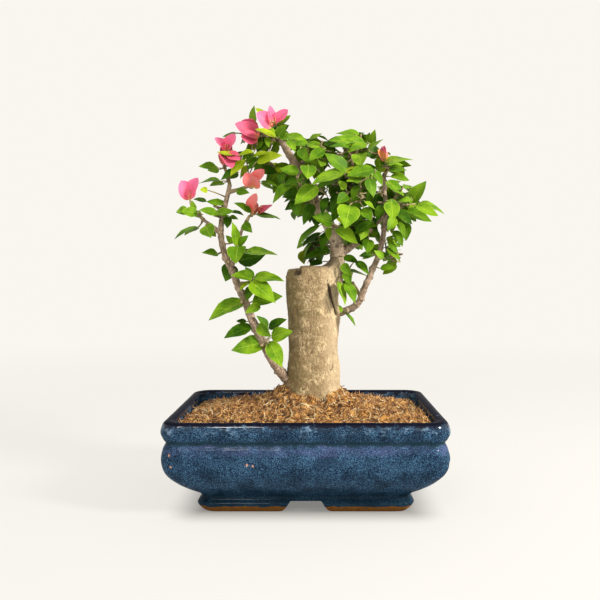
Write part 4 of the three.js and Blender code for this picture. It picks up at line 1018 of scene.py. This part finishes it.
def crumbs():
    """Bits of peat and bark: lumps of three uneven rings of five between two ends."""
    draw = stream(SEED + 402)
    places = scattered(2300, draw)
    big, uneven, turned, long = drawn(draw, len(places), 4).T[..., None, None]
    size = 0.5 + 1.5 * big**3
    turn = ring_angles(5)
    level = np.array([-0.8, 0.0, 0.8])[:, None]
    wide = np.array([0.55, 1.0, 0.5])[:, None]
    dents = 1 + 0.3 * np.sin(7 * uneven * 6 + turn * 2 + level * 3)
    x = wide * np.cos(turn + turned * 6) * dents * (1 + long)
    y = wide * np.sin(turn + turned * 6) * dents
    lump = np.stack(np.broadcast_arrays(x, y, level * 0.7), -1) * size[..., None]
    height = soil_height(places[:, 0], places[:, 1])[0]
    centre = np.column_stack([places, height + 0.25 * size.ravel()])
    finish = fibre_finish("crumb", (0.06, 0.028, 0.012), (0.30, 0.15, 0.055))
    put("soil_crumbs", Pile(lump + centre[:, None, None]), finish, smooth=False)


# ------------------------------------------------------------------ trunk
def wrapped(angles):
    """Angles brought between half a turn back and half a turn on."""
    return np.arctan2(np.sin(angles), np.cos(angles))


def trunk_radius(height, turn):
    """The section's radius, fluted by two slow waves round it, plus a bell curve for each swelling."""
    radius = np.interp(height, TRUNK[:, 0], TRUNK[:, 2])
    r = radius * (1 + 0.03 * np.cos(3 * turn + 1) + 0.02 * np.cos(5 * turn))
    for bearing, level, size, spread in SWELLINGS:
        off = wrapped(turn - math.radians(bearing)) * radius
        r = r + size * np.exp(-(off**2 + (height - level) ** 2) / spread**2)
    return r


def near(turn, bearing, height, level, wide, tall):
    """1 at one place of the bark, falling off as a bell curve round and along the trunk."""
    off = wrapped(turn - math.radians(bearing)) * TRUNK_GIRTH
    return np.exp(-((off / wide) ** 2) - ((height - level) / tall) ** 2)


def bark_relief(points, seed):
    """Bark in mm: short ridges by stretched noise, thin broken fissures where another noise crosses
    zero, and fine scales. Returns these, and slow lumps that the fissures don't follow."""
    ridges = layered(points, (2.2, 2.2, 5.5), 3, seed)
    fissures = -np.clip(0.07 - np.abs(noise(points, (4.0, 4.0, 17.0), seed + 5)), 0, 1) * 13.0
    broken = smooth_step(-0.1, 0.35, noise(points, (6.0, 6.0, 9.0), seed + 6))
    scales = layered(points, (1.1, 1.1, 2.0), 2, seed + 9)
    swell = 0.8 * noise(points, (11.0, 11.0, 16.0), seed + 7)
    return 0.40 * ridges + fissures * broken + 0.34 * scales, swell


def trunk():
    """Rings up the trunk, whose radius is the section's plus the bark's relief, then rings that close
    over the cut on top. The cut rises by a bell curve round the leader's foot. A step is broken out of
    its left edge, with a rotten hollow below, and a slit and two callus ridges lean down the right
    front. The bark near the top rises and falls with the cut's edge."""
    columns = 260
    turn = ring_angles(columns)
    low, top = TRUNK[0, 0], TRUNK[-1, 0]
    height = np.concatenate([[low + 0.2], np.linspace(low + 1, top - 0.6, 318)])[:, None] + 0 * turn
    east, north = (TRUNK_GIRTH * wave(turn) + 0 * height for wave in (np.cos, np.sin))
    spot = np.stack([east, north, height], -1)
    relief, lumps = bark_relief(spot, 51)
    lean = turn + np.radians(0.85) * (height - 176)
    slit = near(lean, -42, height, 180, 1.3, 6.5) + 0.45 * near(lean, -40, height, 168, 1.1, 9)
    ridge = near(lean, -54, height, 163, 1.7, 14) + 0.8 * near(lean, -33, height, 158, 1.7, 16)
    rot = near(turn, -121, height, 198, 3.2, 3.2)
    relief = relief - 3.6 * slit + 1.5 * ridge * (1 - np.clip(slit, 0, 1)) - 2.4 * rot
    crown = smooth_step(top - 5, top, height)
    relief = relief * (1 - 0.5 * crown) - 0.7 * crown**3
    radius = trunk_radius(height, turn) + 0.75 * relief + lumps
    axis = np.interp(height, TRUNK[:, 0], TRUNK[:, 1])
    side = np.stack([axis + radius * np.cos(turn), TRUNK_DEPTH * radius * np.sin(turn), height], -1)

    centre = np.array([TRUNK[-1, 1], 0, top])
    shares = np.linspace(1, 0.03, 30)[:, None, None]
    cut = centre + (side[-1] - centre) * shares
    rough = 0.35 * layered(cut, 3.0, 3, 71) + 0.5 * noise(cut, 14, 73)
    lift = smooth_step(1, 0.93, shares[..., 0]) * (0.5 + rough * 0.8)
    cut[..., 2] = top - 0.6 + np.minimum(lift, 0.6)
    chip = smooth_step(-4.5, -7.0, cut[..., 0] + 1.2 * noise(cut, 5, 75))
    cut[..., 2] -= chip * (2.3 + 0.6 * noise(cut, 3, 77))
    cut[..., 2] += 1.0 + 0.7 * noise(cut, 9, 79)
    aside = np.hypot(cut[..., 0] - 26.5, (cut[..., 1] - 1) * 0.85)
    cut[..., 2] += 11 * np.exp(-((aside / 7.5) ** 2))
    fall = np.clip(1 - (top - 0.6 - height) / 14.0, 0, 1)
    side = side + (fall * (cut[0, :, 2] - height[-1]))[..., None] * UP

    whole = Pile(np.concatenate([side, cut[1:]])[None])
    whole.relief = np.concatenate([relief.ravel(), np.full(cut[1:, :, 0].size, -0.2)])
    colours = ((0.055, 0.033, 0.014), (0.19, 0.122, 0.048), (0.73, 0.565, 0.325), (0.15, 0.115, 0.032))
    piece = put("trunk_bark", whole, bark_finish("trunk_bark", colours, 1.7, True), ["trunk"])
    piece.data.materials.append(sawn_wood_finish())
    marks = np.zeros(len(piece.data.polygons), np.int32)
    marks[len(height) * columns:] = 1
    piece.data.polygons.foreach_set("material_index", marks)


# ------------------------------------------------------------------ limbs
def limb_surface(points, thick, seed):
    """A limb: radius falling evenly from root to tip, wider in a collar at the root and round each
    old leaf scar, which sit on alternate sides, plus bark relief stretched along the limb."""
    length = np.linalg.norm(np.diff(smooth_curve(points, np.linspace(0, 1, 60)), axis=0), axis=1).sum()
    t = np.linspace(0, 1, int(length / 0.75))
    path = smooth_curve(points, t)
    wobble = np.stack([noise(path, 17, seed), noise(path, 17, seed + 1), 0 * t], -1)
    path = path + 0.9 * wobble * smooth_step(0, 0.12, t)[:, None] * smooth_step(1, 0.9, t)[:, None]
    along = (t * length)[:, None]
    radius = ((thick[0] + (thick[1] - thick[0]) * t) / 2)[:, None]
    turn = ring_angles(40)
    r = radius * (1 + 0.30 * np.exp(-along / 7)) + 0 * turn
    relief = 0 * r
    for k in range(1, int(length / SCAR_SPACING)):
        beyond = along - SCAR_SPACING * (k + 0.35 * math.sin(5.1 * k + seed))
        off = wrapped(turn - k * 2.4) * radius
        knob = np.exp(-(beyond**2 / 2.6 + off**2 / (0.55 * thick[1] + 0.5) ** 2))
        r += 1.1 * knob + 0.3 * np.exp(-(beyond**2) / 1.6)
        relief += 0.5 * knob - 1.4 * np.exp(-((beyond - 1.7) ** 2) / 0.25) * knob
    spot = np.stack([radius * np.cos(turn), radius * np.sin(turn), along + 0 * turn], -1)
    grain = 0.55 * layered(spot, (1.7, 1.7, 7.0), 3, seed + 3) + 0.5 * noise(spot, 5.0, seed + 5)
    grain -= np.clip(0.25 - np.abs(noise(spot, (2.2, 2.2, 9.0), seed + 8)), 0, 1) * 2.2
    centre = path[:, None]
    size = np.clip(radius / 7, 0.28, 1)[..., None]
    lift = 1 + 0.42 * size * grain[..., None] / r[..., None]
    surface = centre + (tube(path, r, len(turn)) - centre) * lift
    return surface, relief + grain


def limbs():
    """One piece of bark for each limb."""
    grey = ((0.050, 0.030, 0.018), (0.21, 0.14, 0.085), (0.64, 0.48, 0.35), (0.17, 0.14, 0.065))
    tan = ((0.12, 0.075, 0.045), (0.54, 0.39, 0.26), (0.86, 0.69, 0.52), (0.36, 0.28, 0.16))
    grey_bark = bark_finish("branch_bark", grey, 3.0)
    leader_bark = bark_finish("leader_bark", tan, 3.0, upper=grey[1])
    for number, (name, (points, thick)) in enumerate(LIMBS.items()):
        surface, relief = limb_surface(points, thick, 100 + 20 * number)
        finish = leader_bark if name == "leader" else grey_bark
        put(name + "_bark", Pile(surface[None], relief), finish, LIMB_NODES.get(name, (name,)))


# ------------------------------------------------------------------ growth rule
MASSES = {
    name: (smooth_curve(LIMBS[limb][0], place), np.array(tip, float), np.array(reach, float), shoots)
    for name, (limb, place, tip, reach, shoots) in MASSES.items()
}
ROOTS, ENDS, REACHES = (np.array([mass[k] for mass in MASSES.values()]) for k in range(3))


def stem_gaps(points):
    """Distance of points (n, 3) to each mass's stem: to the nearest place of a straight bar."""
    bar = ENDS - ROOTS
    away = points[:, None] - ROOTS
    share = np.clip((away * bar).sum(-1) / (bar * bar).sum(-1), 0, 1)
    return np.linalg.norm(away - share[..., None] * bar, axis=-1)


def in_space(number, points):
    """Whether all points lie in a mass's own space: nearer to its stem than to any other's, inside the
    crown's bounds, and inside the mass's half sizes."""
    if np.abs(points[:, 0]).max() > CROWN_HALF_WIDTH or points[:, 2].max() > CROWN_TOP:
        return False
    if np.linalg.norm((points - ENDS[number]) / REACHES[number], axis=1).max() > EDGE:
        return False
    gaps = stem_gaps(points)
    own = gaps[:, number].copy()
    gaps[:, number] = np.inf
    return bool((gaps.min(axis=1) > own + 2 * SPACE).all())


def kept_clear(shape):
    """Whether any of these points lies in a place kept clear."""
    return any(
        bool(((np.hypot(shape[:, 0] - x, shape[:, 2] - z) < radius) & (shape[:, 1] < depth)).any())
        for x, z, radius, depth in CLEAR
    )


def ball_directions(count, draw):
    """Directions spread evenly over a ball by the golden angle, each a little off its level."""
    spin = draw() * 2 * math.pi
    found = []
    for k in range(count):
        z = 0.92 - 1.6 * (k + 0.5) / count + 0.16 * (draw() - 0.5)
        level = math.sqrt(1 - z * z)
        found.append(np.array([level * math.cos(spin + k * GOLDEN), level * math.sin(spin + k * GOLDEN), z]))
    return found


def on_frame(x, y, depth):
    """The place at a depth Y that shows at a pixel of the camera's frame."""
    pixel = (depth - CAMERA[1]) / (FRAME * LENS / SENSOR)
    return np.array([(x - FRAME_AXIS[0]) * pixel + CAMERA[0], depth, CAMERA[2] - (y - FRAME_AXIS[1]) * pixel])


def from_frame(kind, depth, x0, y0, x1, y1, width, tone, side=1):
    """A row in whole millimetres from how a blade shows in the frame. `kind` gives a blade's width of its
    length, its least share of length to show, the least and most width that it is given, of the full
    width and of its length, and how much its curl hides. A blade that shows too wide for its length has
    its point nearer to the camera. Any other is turned about its midrib by the angle whose cosine is the
    width that shows over the full width."""
    full, least_shown, least, most, curl = kind
    base, tip = on_frame(x0, y0, depth), on_frame(x1, y1, depth)
    width = width * (depth - CAMERA[1]) / (FRAME * LENS / SENSOR)
    shown = np.linalg.norm(tip - base)
    if width / full > shown * 1.03:
        length, roll = min(width / full, shown / least_shown), 0.0
    else:
        length = shown * 1.06
        roll = side * math.degrees(math.acos(min(1, width / (full * length))))
    tip = on_frame(x1, y1, depth - math.sqrt(max(0, length**2 - shown**2)))
    width = round(curl * round(min(max(width, full * length * least), most * length)))
    return (*np.round(base), *np.round(tip), width, round(roll), tone)


def in_millimetres(kind, rows):
    """Rows of nine: those that tell how a blade shows in the frame are worked out."""
    return [row if len(row) == 9 else from_frame(kind, *row) for row in rows]


PLACED = {name: in_millimetres(LEAF_KIND, rows) for name, rows in PLACED.items()}
BLOSSOMS = [(name, in_millimetres(BRACT_KIND, rows)) for name, rows in BLOSSOMS]


class Growth:
    """What all masses grow: twigs, leaf stalks, leaves and bracts by finish, and flowers."""

    def __init__(self):
        self.twigs, self.stalks, self.flowers, self.bare = [], [], [], []
        self.blades = {tone: [] for tone in (*LEAF_TONES, *BRACT_TONES)}
        self.middles = np.zeros((0, 3))
        rows = [row for rows in (*PLACED.values(), *(rows for _, rows in BLOSSOMS)) for row in rows]
        starts, tips = (np.array([row[k:k + 3] for row in rows], float) for k in (0, 3))
        self.placed = (starts + tips) / 2
        self.placed_reach = np.linalg.norm(tips - starts, axis=1) * 0.5
        self.seen = np.vstack([starts + (tips - starts) * share for share in (0.1, 0.35, 0.6, 0.85)])[:, ::2]

    def twig(self, path, foot_width, tip_width):
        """Adds a twig and returns its number."""
        self.twigs.append((path, foot_width, tip_width))
        return len(self.twigs) - 1

    def drop_bare(self):
        """Drops the twigs that bear no leaf, no stalk and no other twig, the finest first."""
        feet = np.array([stalk[0] for stalk in self.stalks])
        for number in sorted(self.bare, reverse=True):
            path = self.twigs[number][0]
            starts = [other[0][0] for k, other in enumerate(self.twigs) if k != number and other is not None]
            held = np.vstack([feet, starts])
            if np.linalg.norm(held[:, None] - path[2:], axis=-1).min() > 1.5:
                self.twigs[number] = None
        self.twigs = [twig for twig in self.twigs if twig is not None]

    def crowded(self, middle, gap):
        """Whether another blade's middle is nearer than the gap."""
        return bool(len(self.middles) and np.linalg.norm(self.middles - middle, axis=1).min() < gap)

    def in_outline(self, points):
        """Whether points, seen from the front, all lie near blades with a place of their own."""
        aside = points[:, None, ::2] - self.seen
        return bool((np.hypot(aside[..., 0], aside[..., 1]).min(axis=1) < PLACED_REACH).all())

    def covers(self, points):
        """Whether a point lies right in front of a blade with a place of its own."""
        aside = points[:, None, ::2] - self.placed[:, ::2]
        close = np.hypot(aside[..., 0], aside[..., 1]) < self.placed_reach
        return bool((close & (points[:, None, 1] < self.placed[:, 1] + 6)).any())

    def blade(self, tone, base, along, face, length, width, draw):
        """Adds a leaf or bract with two random numbers of its own."""
        self.middles = np.vstack([self.middles, base + along * length / 2])
        self.blades[tone].append((base, along, face, length, width, draw(), draw()))


def set_leaf(growth, number, foot, forward, turn, length, heart, tone, draw):
    """A leaf on its stalk, turned by the golden angle and shrunk a little at each try, until it keeps to
    its mass's space and clear of other leaves. It faces outwards and upwards with a tilt of its own, and
    hangs a little. Returns whether it found a place."""
    tilt = np.array([draw() - 0.5, draw() - 0.5, 0.6 * (draw() - 0.5)])
    outward = unit(foot - heart)
    face = unit(0.6 * outward + 0.55 * UP + 0.9 * tilt)
    for attempt in range(LEAF_TRIES):
        azimuth = turn + attempt * GOLDEN
        spread = np.array([math.cos(azimuth), math.sin(azimuth), -0.4]) + 0.5 * forward + 0.35 * outward
        along = squared(spread, face)
        size = length * (1 - 0.03 * attempt)
        base = foot + (0.75 * along + 0.25 * UP) * size * 0.15
        side = np.cross(face, along) * size * 0.28
        tip = base + along * size
        middle = (base + tip) / 2
        shape = np.array([middle + side, middle - side, tip - face * 0.1 * size, middle])
        gap = (0.40 if middle[1] < -12 else 0.30) * size
        if not in_space(number, shape) or growth.crowded(middle, gap) or kept_clear(shape):
            continue
        if growth.in_outline(shape) and not growth.covers(shape):
            growth.blade(tone, base, along, face, size, size * (0.6 + 0.1 * draw()), draw)
            growth.stalks.append((foot, base, unit(forward + along)))
            return True
    return False


def tone_of(foot, young, draw):
    """The finish of a leaf: lime or the pale tone if young; else by place, paler outside the crown and above
    280 mm as painted light, and darker inside it as painted shade.
    """
    if young:
        return "lime" if draw() < 0.25 else "bright"
    heart, size = CROWN_HEART, CROWN_SIZE
    if foot[0] <= LEFT_EDGE:
        heart, size = np.array([*LEFT_HEART, foot[2]]), LEFT_SIZE
    # painted light and shade: darker deeper in the crown, paler outside it and high up
    out = np.linalg.norm((foot - heart) / size) + 0.4 * (draw() - 0.5) + 0.15 * (foot[2] > 280)
    return "bright" if out > 0.88 else "green" if out > 0.62 else "deep"


def grow_twigs(growth, number, root, end, reach, shoots):
    """One stem, shoots from stations along it to the mass's edge, and finer side twigs: one that carries
    each shoot on, and two aside. Returns the twigs that bear leaves, each with its spin and the size of
    its leaves."""
    draw = stream(SEED + number)
    stations = max(1, min(4, int(np.linalg.norm(end - root) // 8)))
    growth.twig(bowed(root, end, unit(end - root)), 1.9, 1.35)
    bearers = []
    for k, direction in enumerate(ball_directions(shoots, draw)):
        spin = draw() * 2 * math.pi
        ends = [end + direction * reach * SHOOT_REACH * share for share in SHOOT_SHARES]
        far = next((p for p in ends if in_space(number, p[None])), ends[-1])
        foot = root + (0.42 + 0.52 * ((k % stations) + 0.5) / stations) * (end - root)
        if not growth.in_outline(far[None]):
            continue
        path = bowed(foot, far, unit(unit(far - foot) + 0.6 * squared(far - foot, unit(end - root))))
        bearers.append((growth.twig(path, 1.3, 0.8), spin, 1.0))
        tangents = unit(np.gradient(path, axis=0))
        for at, turn, length in ((7, 0.0, 7.5), (3, spin, 10.0), (5, spin + 2.4, 9.0)):
            heading = tangents[at]
            if at < 7:
                level = math.radians(10)
                flat = math.cos(level)
                aside = np.array([flat * math.cos(turn), flat * math.sin(turn), math.sin(level)])
                heading = unit(squared(aside, tangents[at]) + 0.7 * tangents[at])
            tip = path[at] + heading * length
            if in_space(number, tip[None]) and growth.in_outline(tip[None]):
                bearers.append((growth.twig(bowed(path[at], tip, tangents[at]), 0.75, 0.5), turn + 1, 0.85))
    return bearers


def grow_leaves(growth, number, bearers):
    """Leaves round the twigs by the golden angle, younger and smaller towards the tips."""
    draw = stream(SEED + 500 + number)
    heart = ROOTS[number] + 0.4 * (ENDS[number] - ROOTS[number])
    for twig, spin, scale in bearers:
        path = growth.twigs[twig][0]
        length = np.linalg.norm(np.diff(path, axis=0), axis=1).sum()
        count = max(1, int((length - 1) // 3.6))
        forward = unit(path[-1] - path[-2])
        tone = tone_of(path[-1], True, draw)
        size = (17 + 8 * draw()) * scale
        borne = set_leaf(growth, number, path[-1], forward, spin, size, heart, tone, draw)
        for k in range(count):
            t = (k + 0.7) / (count + 0.4)
            foot = smooth_curve(path, t)
            forward = unit(smooth_curve(path, min(1, t + 0.02)) - smooth_curve(path, t - 0.02))
            for turn, share in ((0, 1), (2.6, 0.9)):
                turn = spin + k * GOLDEN + turn
                size = (25 + 8 * draw()) * (1 - 0.1 * t) * scale * share
                tone = tone_of(foot, False, draw)
                borne |= set_leaf(growth, number, foot, forward, turn, size, heart, tone, draw)
        if not borne:
            growth.bare.append(twig)


def set_placed(growth, rows, wood, draw, lean=0.0, branch_depth=None):
    """Blades with a place of their own, each on a stalk from the nearest wood. `lean` turns a blade up by
    a share of its length, against its droop. With `branch_depth`, the wider ones come again behind the
    branch at that depth, a little aside and smaller, so that its back is as full."""
    for x0, y0, z0, x1, y1, z1, width, roll, tone in rows:
        base, tip = np.array([x0, y0, z0], float), np.array([x1, y1, z1], float)
        pairs = [(base, tip, -1.0, width)]
        if branch_depth is not None and width > 9:
            shift = np.array([2 * draw() - 1, 2.0, 2 * draw() - 1])
            axis = np.array([0, branch_depth, 0])
            ends = ((p - axis) * (1, -1, 1) + axis + shift for p in (base, base + (tip - base) * 0.72))
            pairs.append((*ends, 1.0, width * 0.75))
        for start, point, front, wide in pairs:
            along = unit(point - start)
            flat = squared(np.array([0.0, front, 0.0]), along)
            lifted = squared(UP, along) - flat * (squared(UP, along) * flat).sum()
            angle = math.radians(roll)
            face = unit(flat * math.cos(angle) + unit(lifted) * math.sin(angle))
            raised = unit(along + lean * face)
            length = np.linalg.norm(point - start)
            growth.blade(tone, start, raised, squared(face, raised), length, wide, draw)
            gap = np.linalg.norm(wood - start - along, axis=1)
            foot = wood[np.argmin(gap)]
            heading = unit(start - foot - along * 0.4 * gap.min())
            if gap.min() > 7:
                growth.twig(bowed(foot, start - along, heading), 0.75, 0.45)
                foot, heading = start - along * 1.2, along
            growth.stalks.append((foot, start, heading))


# ------------------------------------------------------------------ leaves and bracts
def blade_template(stations, columns):
    """A blade's own coordinates and faces. Rows at `stations` from base to point have `columns` points
    from edge to edge on top, and the same below but for the edges, which they share. Both ends are one
    point. Returns along (0 to 1), across (-1 to 1), side (1 on top, -1 below, 0 at the rim), and faces."""
    across = np.linspace(-1, 1, columns)
    inner = columns - 2
    width = columns + inner
    s = [0.0] + [x for x in stations for _ in range(width)] + [1.0]
    w = [0.0] + [x for _ in stations for x in (*across, *across[1:-1])] + [0.0]
    side = [1.0] + [0.0, *[1.0] * inner, 0.0, *[-1.0] * inner] * len(stations) + [1.0]

    def row(k):
        """The numbers of a row's top and lower points, each from edge to edge."""
        start = 1 + k * width
        top = list(range(start, start + columns))
        return top, [start, *range(start + columns, start + width), top[-1]]

    quads, triangles = [], []
    last = len(s) - 1
    for k in range(len(stations) - 1):
        (top, under), (next_top, next_under) = row(k), row(k + 1)
        for j in range(columns - 1):
            quads.append((top[j], top[j + 1], next_top[j + 1], next_top[j]))
            quads.append((under[j + 1], under[j], next_under[j], next_under[j + 1]))
    (top, under), (end_top, end_under) = row(0), row(len(stations) - 1)
    for j in range(columns - 1):
        triangles += [(0, top[j + 1], top[j]), (0, under[j], under[j + 1])]
        triangles += [(last, end_top[j], end_top[j + 1]), (last, end_under[j + 1], end_under[j])]
    return np.array(s), np.array(w), np.array(side), np.array(quads), np.array(triangles)


def columns_of(items, *numbers):
    """Arrays of some of the values that each item has."""
    return (np.array([item[k] for item in items]) for k in numbers)


def blades(template, items, profile, fold, droop, waves, thick):
    """Puts a blade on each item (base, along, face, length, width, two random numbers). Its half width
    follows s^a (1-s)^b over the peak of that. It is folded up from the midrib, droops as s^1.8, waves
    along its edges, and is thickest at the midrib."""
    s, w, side, quads, triangles = template
    base, along, face = columns_of(items, 0, 1, 2)
    length, width, first, second = (column[:, None] for column in columns_of(items, 3, 4, 5, 6))
    a, b = profile
    peak = a / (a + b)
    half = width / 2 * (s**a * (1 - s) ** b) / (peak**a * (1 - peak) ** b)
    angle = fold * (0.6 + 0.8 * first) * (1 - 0.5 * s)
    aside = half * w * np.cos(angle)
    rise = half * (np.sqrt(w * w + 0.01) - 0.1) * np.sin(angle)
    rise = rise - droop * (0.35 + 1.1 * second) * length * s**1.8
    rise = rise + waves * length * np.sin(7 * s + 6.28 * first) * w**2 * np.sin(np.pi * s)
    rise = rise + side * thick / 2 * (1 - w * w) * np.sin(np.pi * np.clip(s, 0.04, 0.96)) ** 0.5
    twist = (first - 0.5) * 0.9 * s
    aside, rise = aside * np.cos(twist) - rise * np.sin(twist) * 0.5, rise + aside * np.sin(twist)
    points = base[:, None] + along[:, None] * (s * length)[..., None]
    points = points + np.cross(face, along)[:, None] * aside[..., None] + face[:, None] * rise[..., None]
    pile = Pile()
    pile.add(points, quads, triangles, np.stack([0.5 + 0.5 * w, s], -1))
    return pile


def grow():
    """Sets the blossoms, then the leaves with a place of their own, then grows the rest round them."""
    growth = Growth()
    bearers = [grow_twigs(growth, number, *mass) for number, mass in enumerate(MASSES.values())]
    limb_points = [smooth_curve(points, np.linspace(0, 1, 80)) for points, _ in LIMBS.values()]
    wood = np.vstack([path for path, _, _ in growth.twigs] + limb_points)
    draw = stream(SEED + 900)
    for _, rows in BLOSSOMS:
        set_placed(growth, rows, wood, draw)
        starts, tips = (np.array([row[k:k + 3] for row in rows], float) for k in (0, 3))
        axis = unit((tips - starts).sum(0))
        for start, tip in zip(starts, tips):
            growth.flowers.append((start + axis, unit(axis + 0.2 * unit(tip - start)), 6.5))
    for name, rows in PLACED.items():
        branch_depth = MASSES[name][0][1] if name.startswith("left") else None
        set_placed(growth, rows, wood, draw, LEAF_DROOP * 0.8, branch_depth)
    for number, twigs in enumerate(bearers):
        grow_leaves(growth, number, twigs)
    growth.drop_bare()
    return growth


def foliage():
    """Makes the twigs, stalks, leaves, bracts and flowers of all masses, each kind apart."""
    growth = grow()
    masses = list(MASSES)
    paths, thick, thin = columns_of(growth.twigs, 0, 1, 2)
    share = np.linspace(0, 1, paths.shape[1])
    radii = thick[:, None] + (thin - thick)[:, None] * share
    radii = radii * (1 + 0.14 * np.sin(np.arange(len(radii))[:, None] + 11 * share))
    finish = fibre_finish("twig_bark", (0.13, 0.10, 0.045), (0.36, 0.28, 0.14))
    put("twigs", Pile(tube(paths, radii, 7)), finish, masses)

    path = bowed(*columns_of(growth.stalks, 0, 1, 2), count=4)
    finish = tender_finish("stalk", (0.16, 0.26, 0.04), (0.36, 0.44, 0.10))
    put("leaf_stalks", Pile(tube(path, np.full(path.shape[:2], 0.42), 5)), finish)

    leaf = blade_template([0.06, 0.19, 0.37, 0.57, 0.77, 0.93], 5)
    for tone, colours in LEAF_TONES.items():
        pile = blades(leaf, growth.blades[tone], (0.60, 1.10), 0.34, LEAF_DROOP, 0.03, 0.35)
        put("leaves_" + tone, pile, leaf_finish("leaf_" + tone, *colours), masses, crease=75)
    bract = blade_template([0.05, 0.14, 0.28, 0.44, 0.60, 0.76, 0.90], 7)
    for tone, colours in BRACT_TONES.items():
        pile = blades(bract, growth.blades[tone], (0.50, 0.72), 0.6, -0.12, 0.05, 0.22)
        put("bracts_" + tone, pile, bract_finish("bract_" + tone, *colours), crease=75)

    foot, axis, tall = columns_of(growth.flowers, 0, 1, 2)
    level = np.array([0, 0.35, 0.8, 0.94, 1.0])
    path = foot[:, None] + axis[:, None] * (level * tall[:, None])[..., None]
    radii = np.broadcast_to(np.array([0.35, 0.55, 0.45, 0.55, 0.9]), path.shape[:2])
    finish = tender_finish("flower", (0.60, 0.16, 0.12), (0.72, 0.42, 0.20))
    put("flowers", Pile(tube(path, radii, 10)), finish)


# ------------------------------------------------------------------ stage, lights and camera
def floor():
    """A pale floor whose own glow is low under the pot, as a painted contact shadow, and rises to the
    backdrop's far away.
    """
    bpy.ops.mesh.primitive_plane_add(size=40)
    plane = bpy.context.object
    plane.name = "floor"
    f = Finish("pale_floor", 0.9, Specular_IOR_Level=0.0)
    far = f.span(f.distance((0, 0, 0)), 0.25, 1.6)
    x, y = (f.math("MAXIMUM", f.math("SUBTRACT", f.math("ABSOLUTE", f.axis(label)), half), 0.0)
            for label, half in (("X", 0.085), ("Y", 0.055)))
    beyond = f.math("SQRT", f.math("MULTIPLY_ADD", x, x, f.times(y, y)))
    # painted contact shadow: the glow drops under the pot's footprint and rises beside it
    glow_and_painted_shadow = f.span(beyond, -0.012, 0.034, *FLOOR_GLOW_AND_PAINTED_SHADOW)
    glow = f.math("MULTIPLY_ADD", far, f.math("SUBTRACT", 1.0, glow_and_painted_shadow), glow_and_painted_shadow)
    f.feed(f.shader.inputs["Base Color"], f.mix(far, FLOOR, (0.0, 0.0, 0.0)))
    f.feed(f.shader.inputs["Emission Color"], (*BACKDROP, 1.0))
    f.feed(f.shader.inputs["Emission Strength"], glow)
    plane.data.materials.append(f.material)


def surroundings():
    """The backdrop's colour all round, dimmer in front."""
    world = bpy.data.worlds.new("studio")
    world.use_nodes = True
    tree = world.node_tree
    background = tree.nodes["Background"]
    background.inputs["Color"].default_value = (*BACKDROP, 1.0)
    toward = tree.nodes.new("ShaderNodeSeparateXYZ")
    tree.links.new(tree.nodes.new("ShaderNodeTexCoord").outputs["Generated"], toward.inputs[0])
    glow = tree.nodes.new("ShaderNodeMapRange")
    glow.interpolation_type = "SMOOTHSTEP"
    for label, value in (("From Min", -0.9), ("From Max", 0.5), ("To Min", FRONT_GLOW), ("To Max", 1.0)):
        glow.inputs[label].default_value = value
    tree.links.new(toward.outputs["Y"], glow.inputs["Value"])
    tree.links.new(glow.outputs["Result"], background.inputs["Strength"])
    bpy.context.scene.world = world


def lights_and_camera():
    """Soft lights that look at the plant's middle, and a level camera in front whose frame is shifted."""
    scene = bpy.context.scene
    for name, place, size, power, colour in LIGHTS:
        lamp = bpy.data.lights.new(name, "AREA")
        lamp.shape = "DISK"
        lamp.size, lamp.energy, lamp.color = size, power, colour
        light = bpy.data.objects.new(name, lamp)
        scene.collection.objects.link(light)
        light.location = place
        aim = np.array(LIGHTS_AIM) - np.array(place)
        tilt = math.atan2(math.hypot(aim[0], aim[1]), -aim[2])
        light.rotation_euler = (tilt, 0, math.atan2(-aim[0], aim[1]))
    lens = bpy.data.cameras.new("camera")
    lens.lens, lens.sensor_width = LENS, SENSOR
    lens.shift_x, lens.shift_y = FRAME_SHIFT[0] / FRAME, FRAME_SHIFT[1] / FRAME
    camera = bpy.data.objects.new("camera", lens)
    camera.location = [MM * place for place in CAMERA]
    camera.rotation_euler = (math.pi / 2, 0, 0)
    scene.collection.objects.link(camera)
    scene.camera = camera
    scene.view_settings.view_transform = "Standard"


floor()
surroundings()
lights_and_camera()
drill_drains(pot())
soil()
fibres("tan", 4200, (3, 12), 0.75, (0.36, 0.15, 0.035), (0.74, 0.44, 0.15), SEED + 301)
fibres("straw", 700, (4, 15), 0.7, (0.62, 0.47, 0.24), (0.85, 0.72, 0.46), SEED + 302)
fibres("brown", 2600, (3, 11), 0.85, (0.10, 0.045, 0.018), (0.32, 0.15, 0.055), SEED + 303)
crumbs()
trunk()
limbs()
foliage()
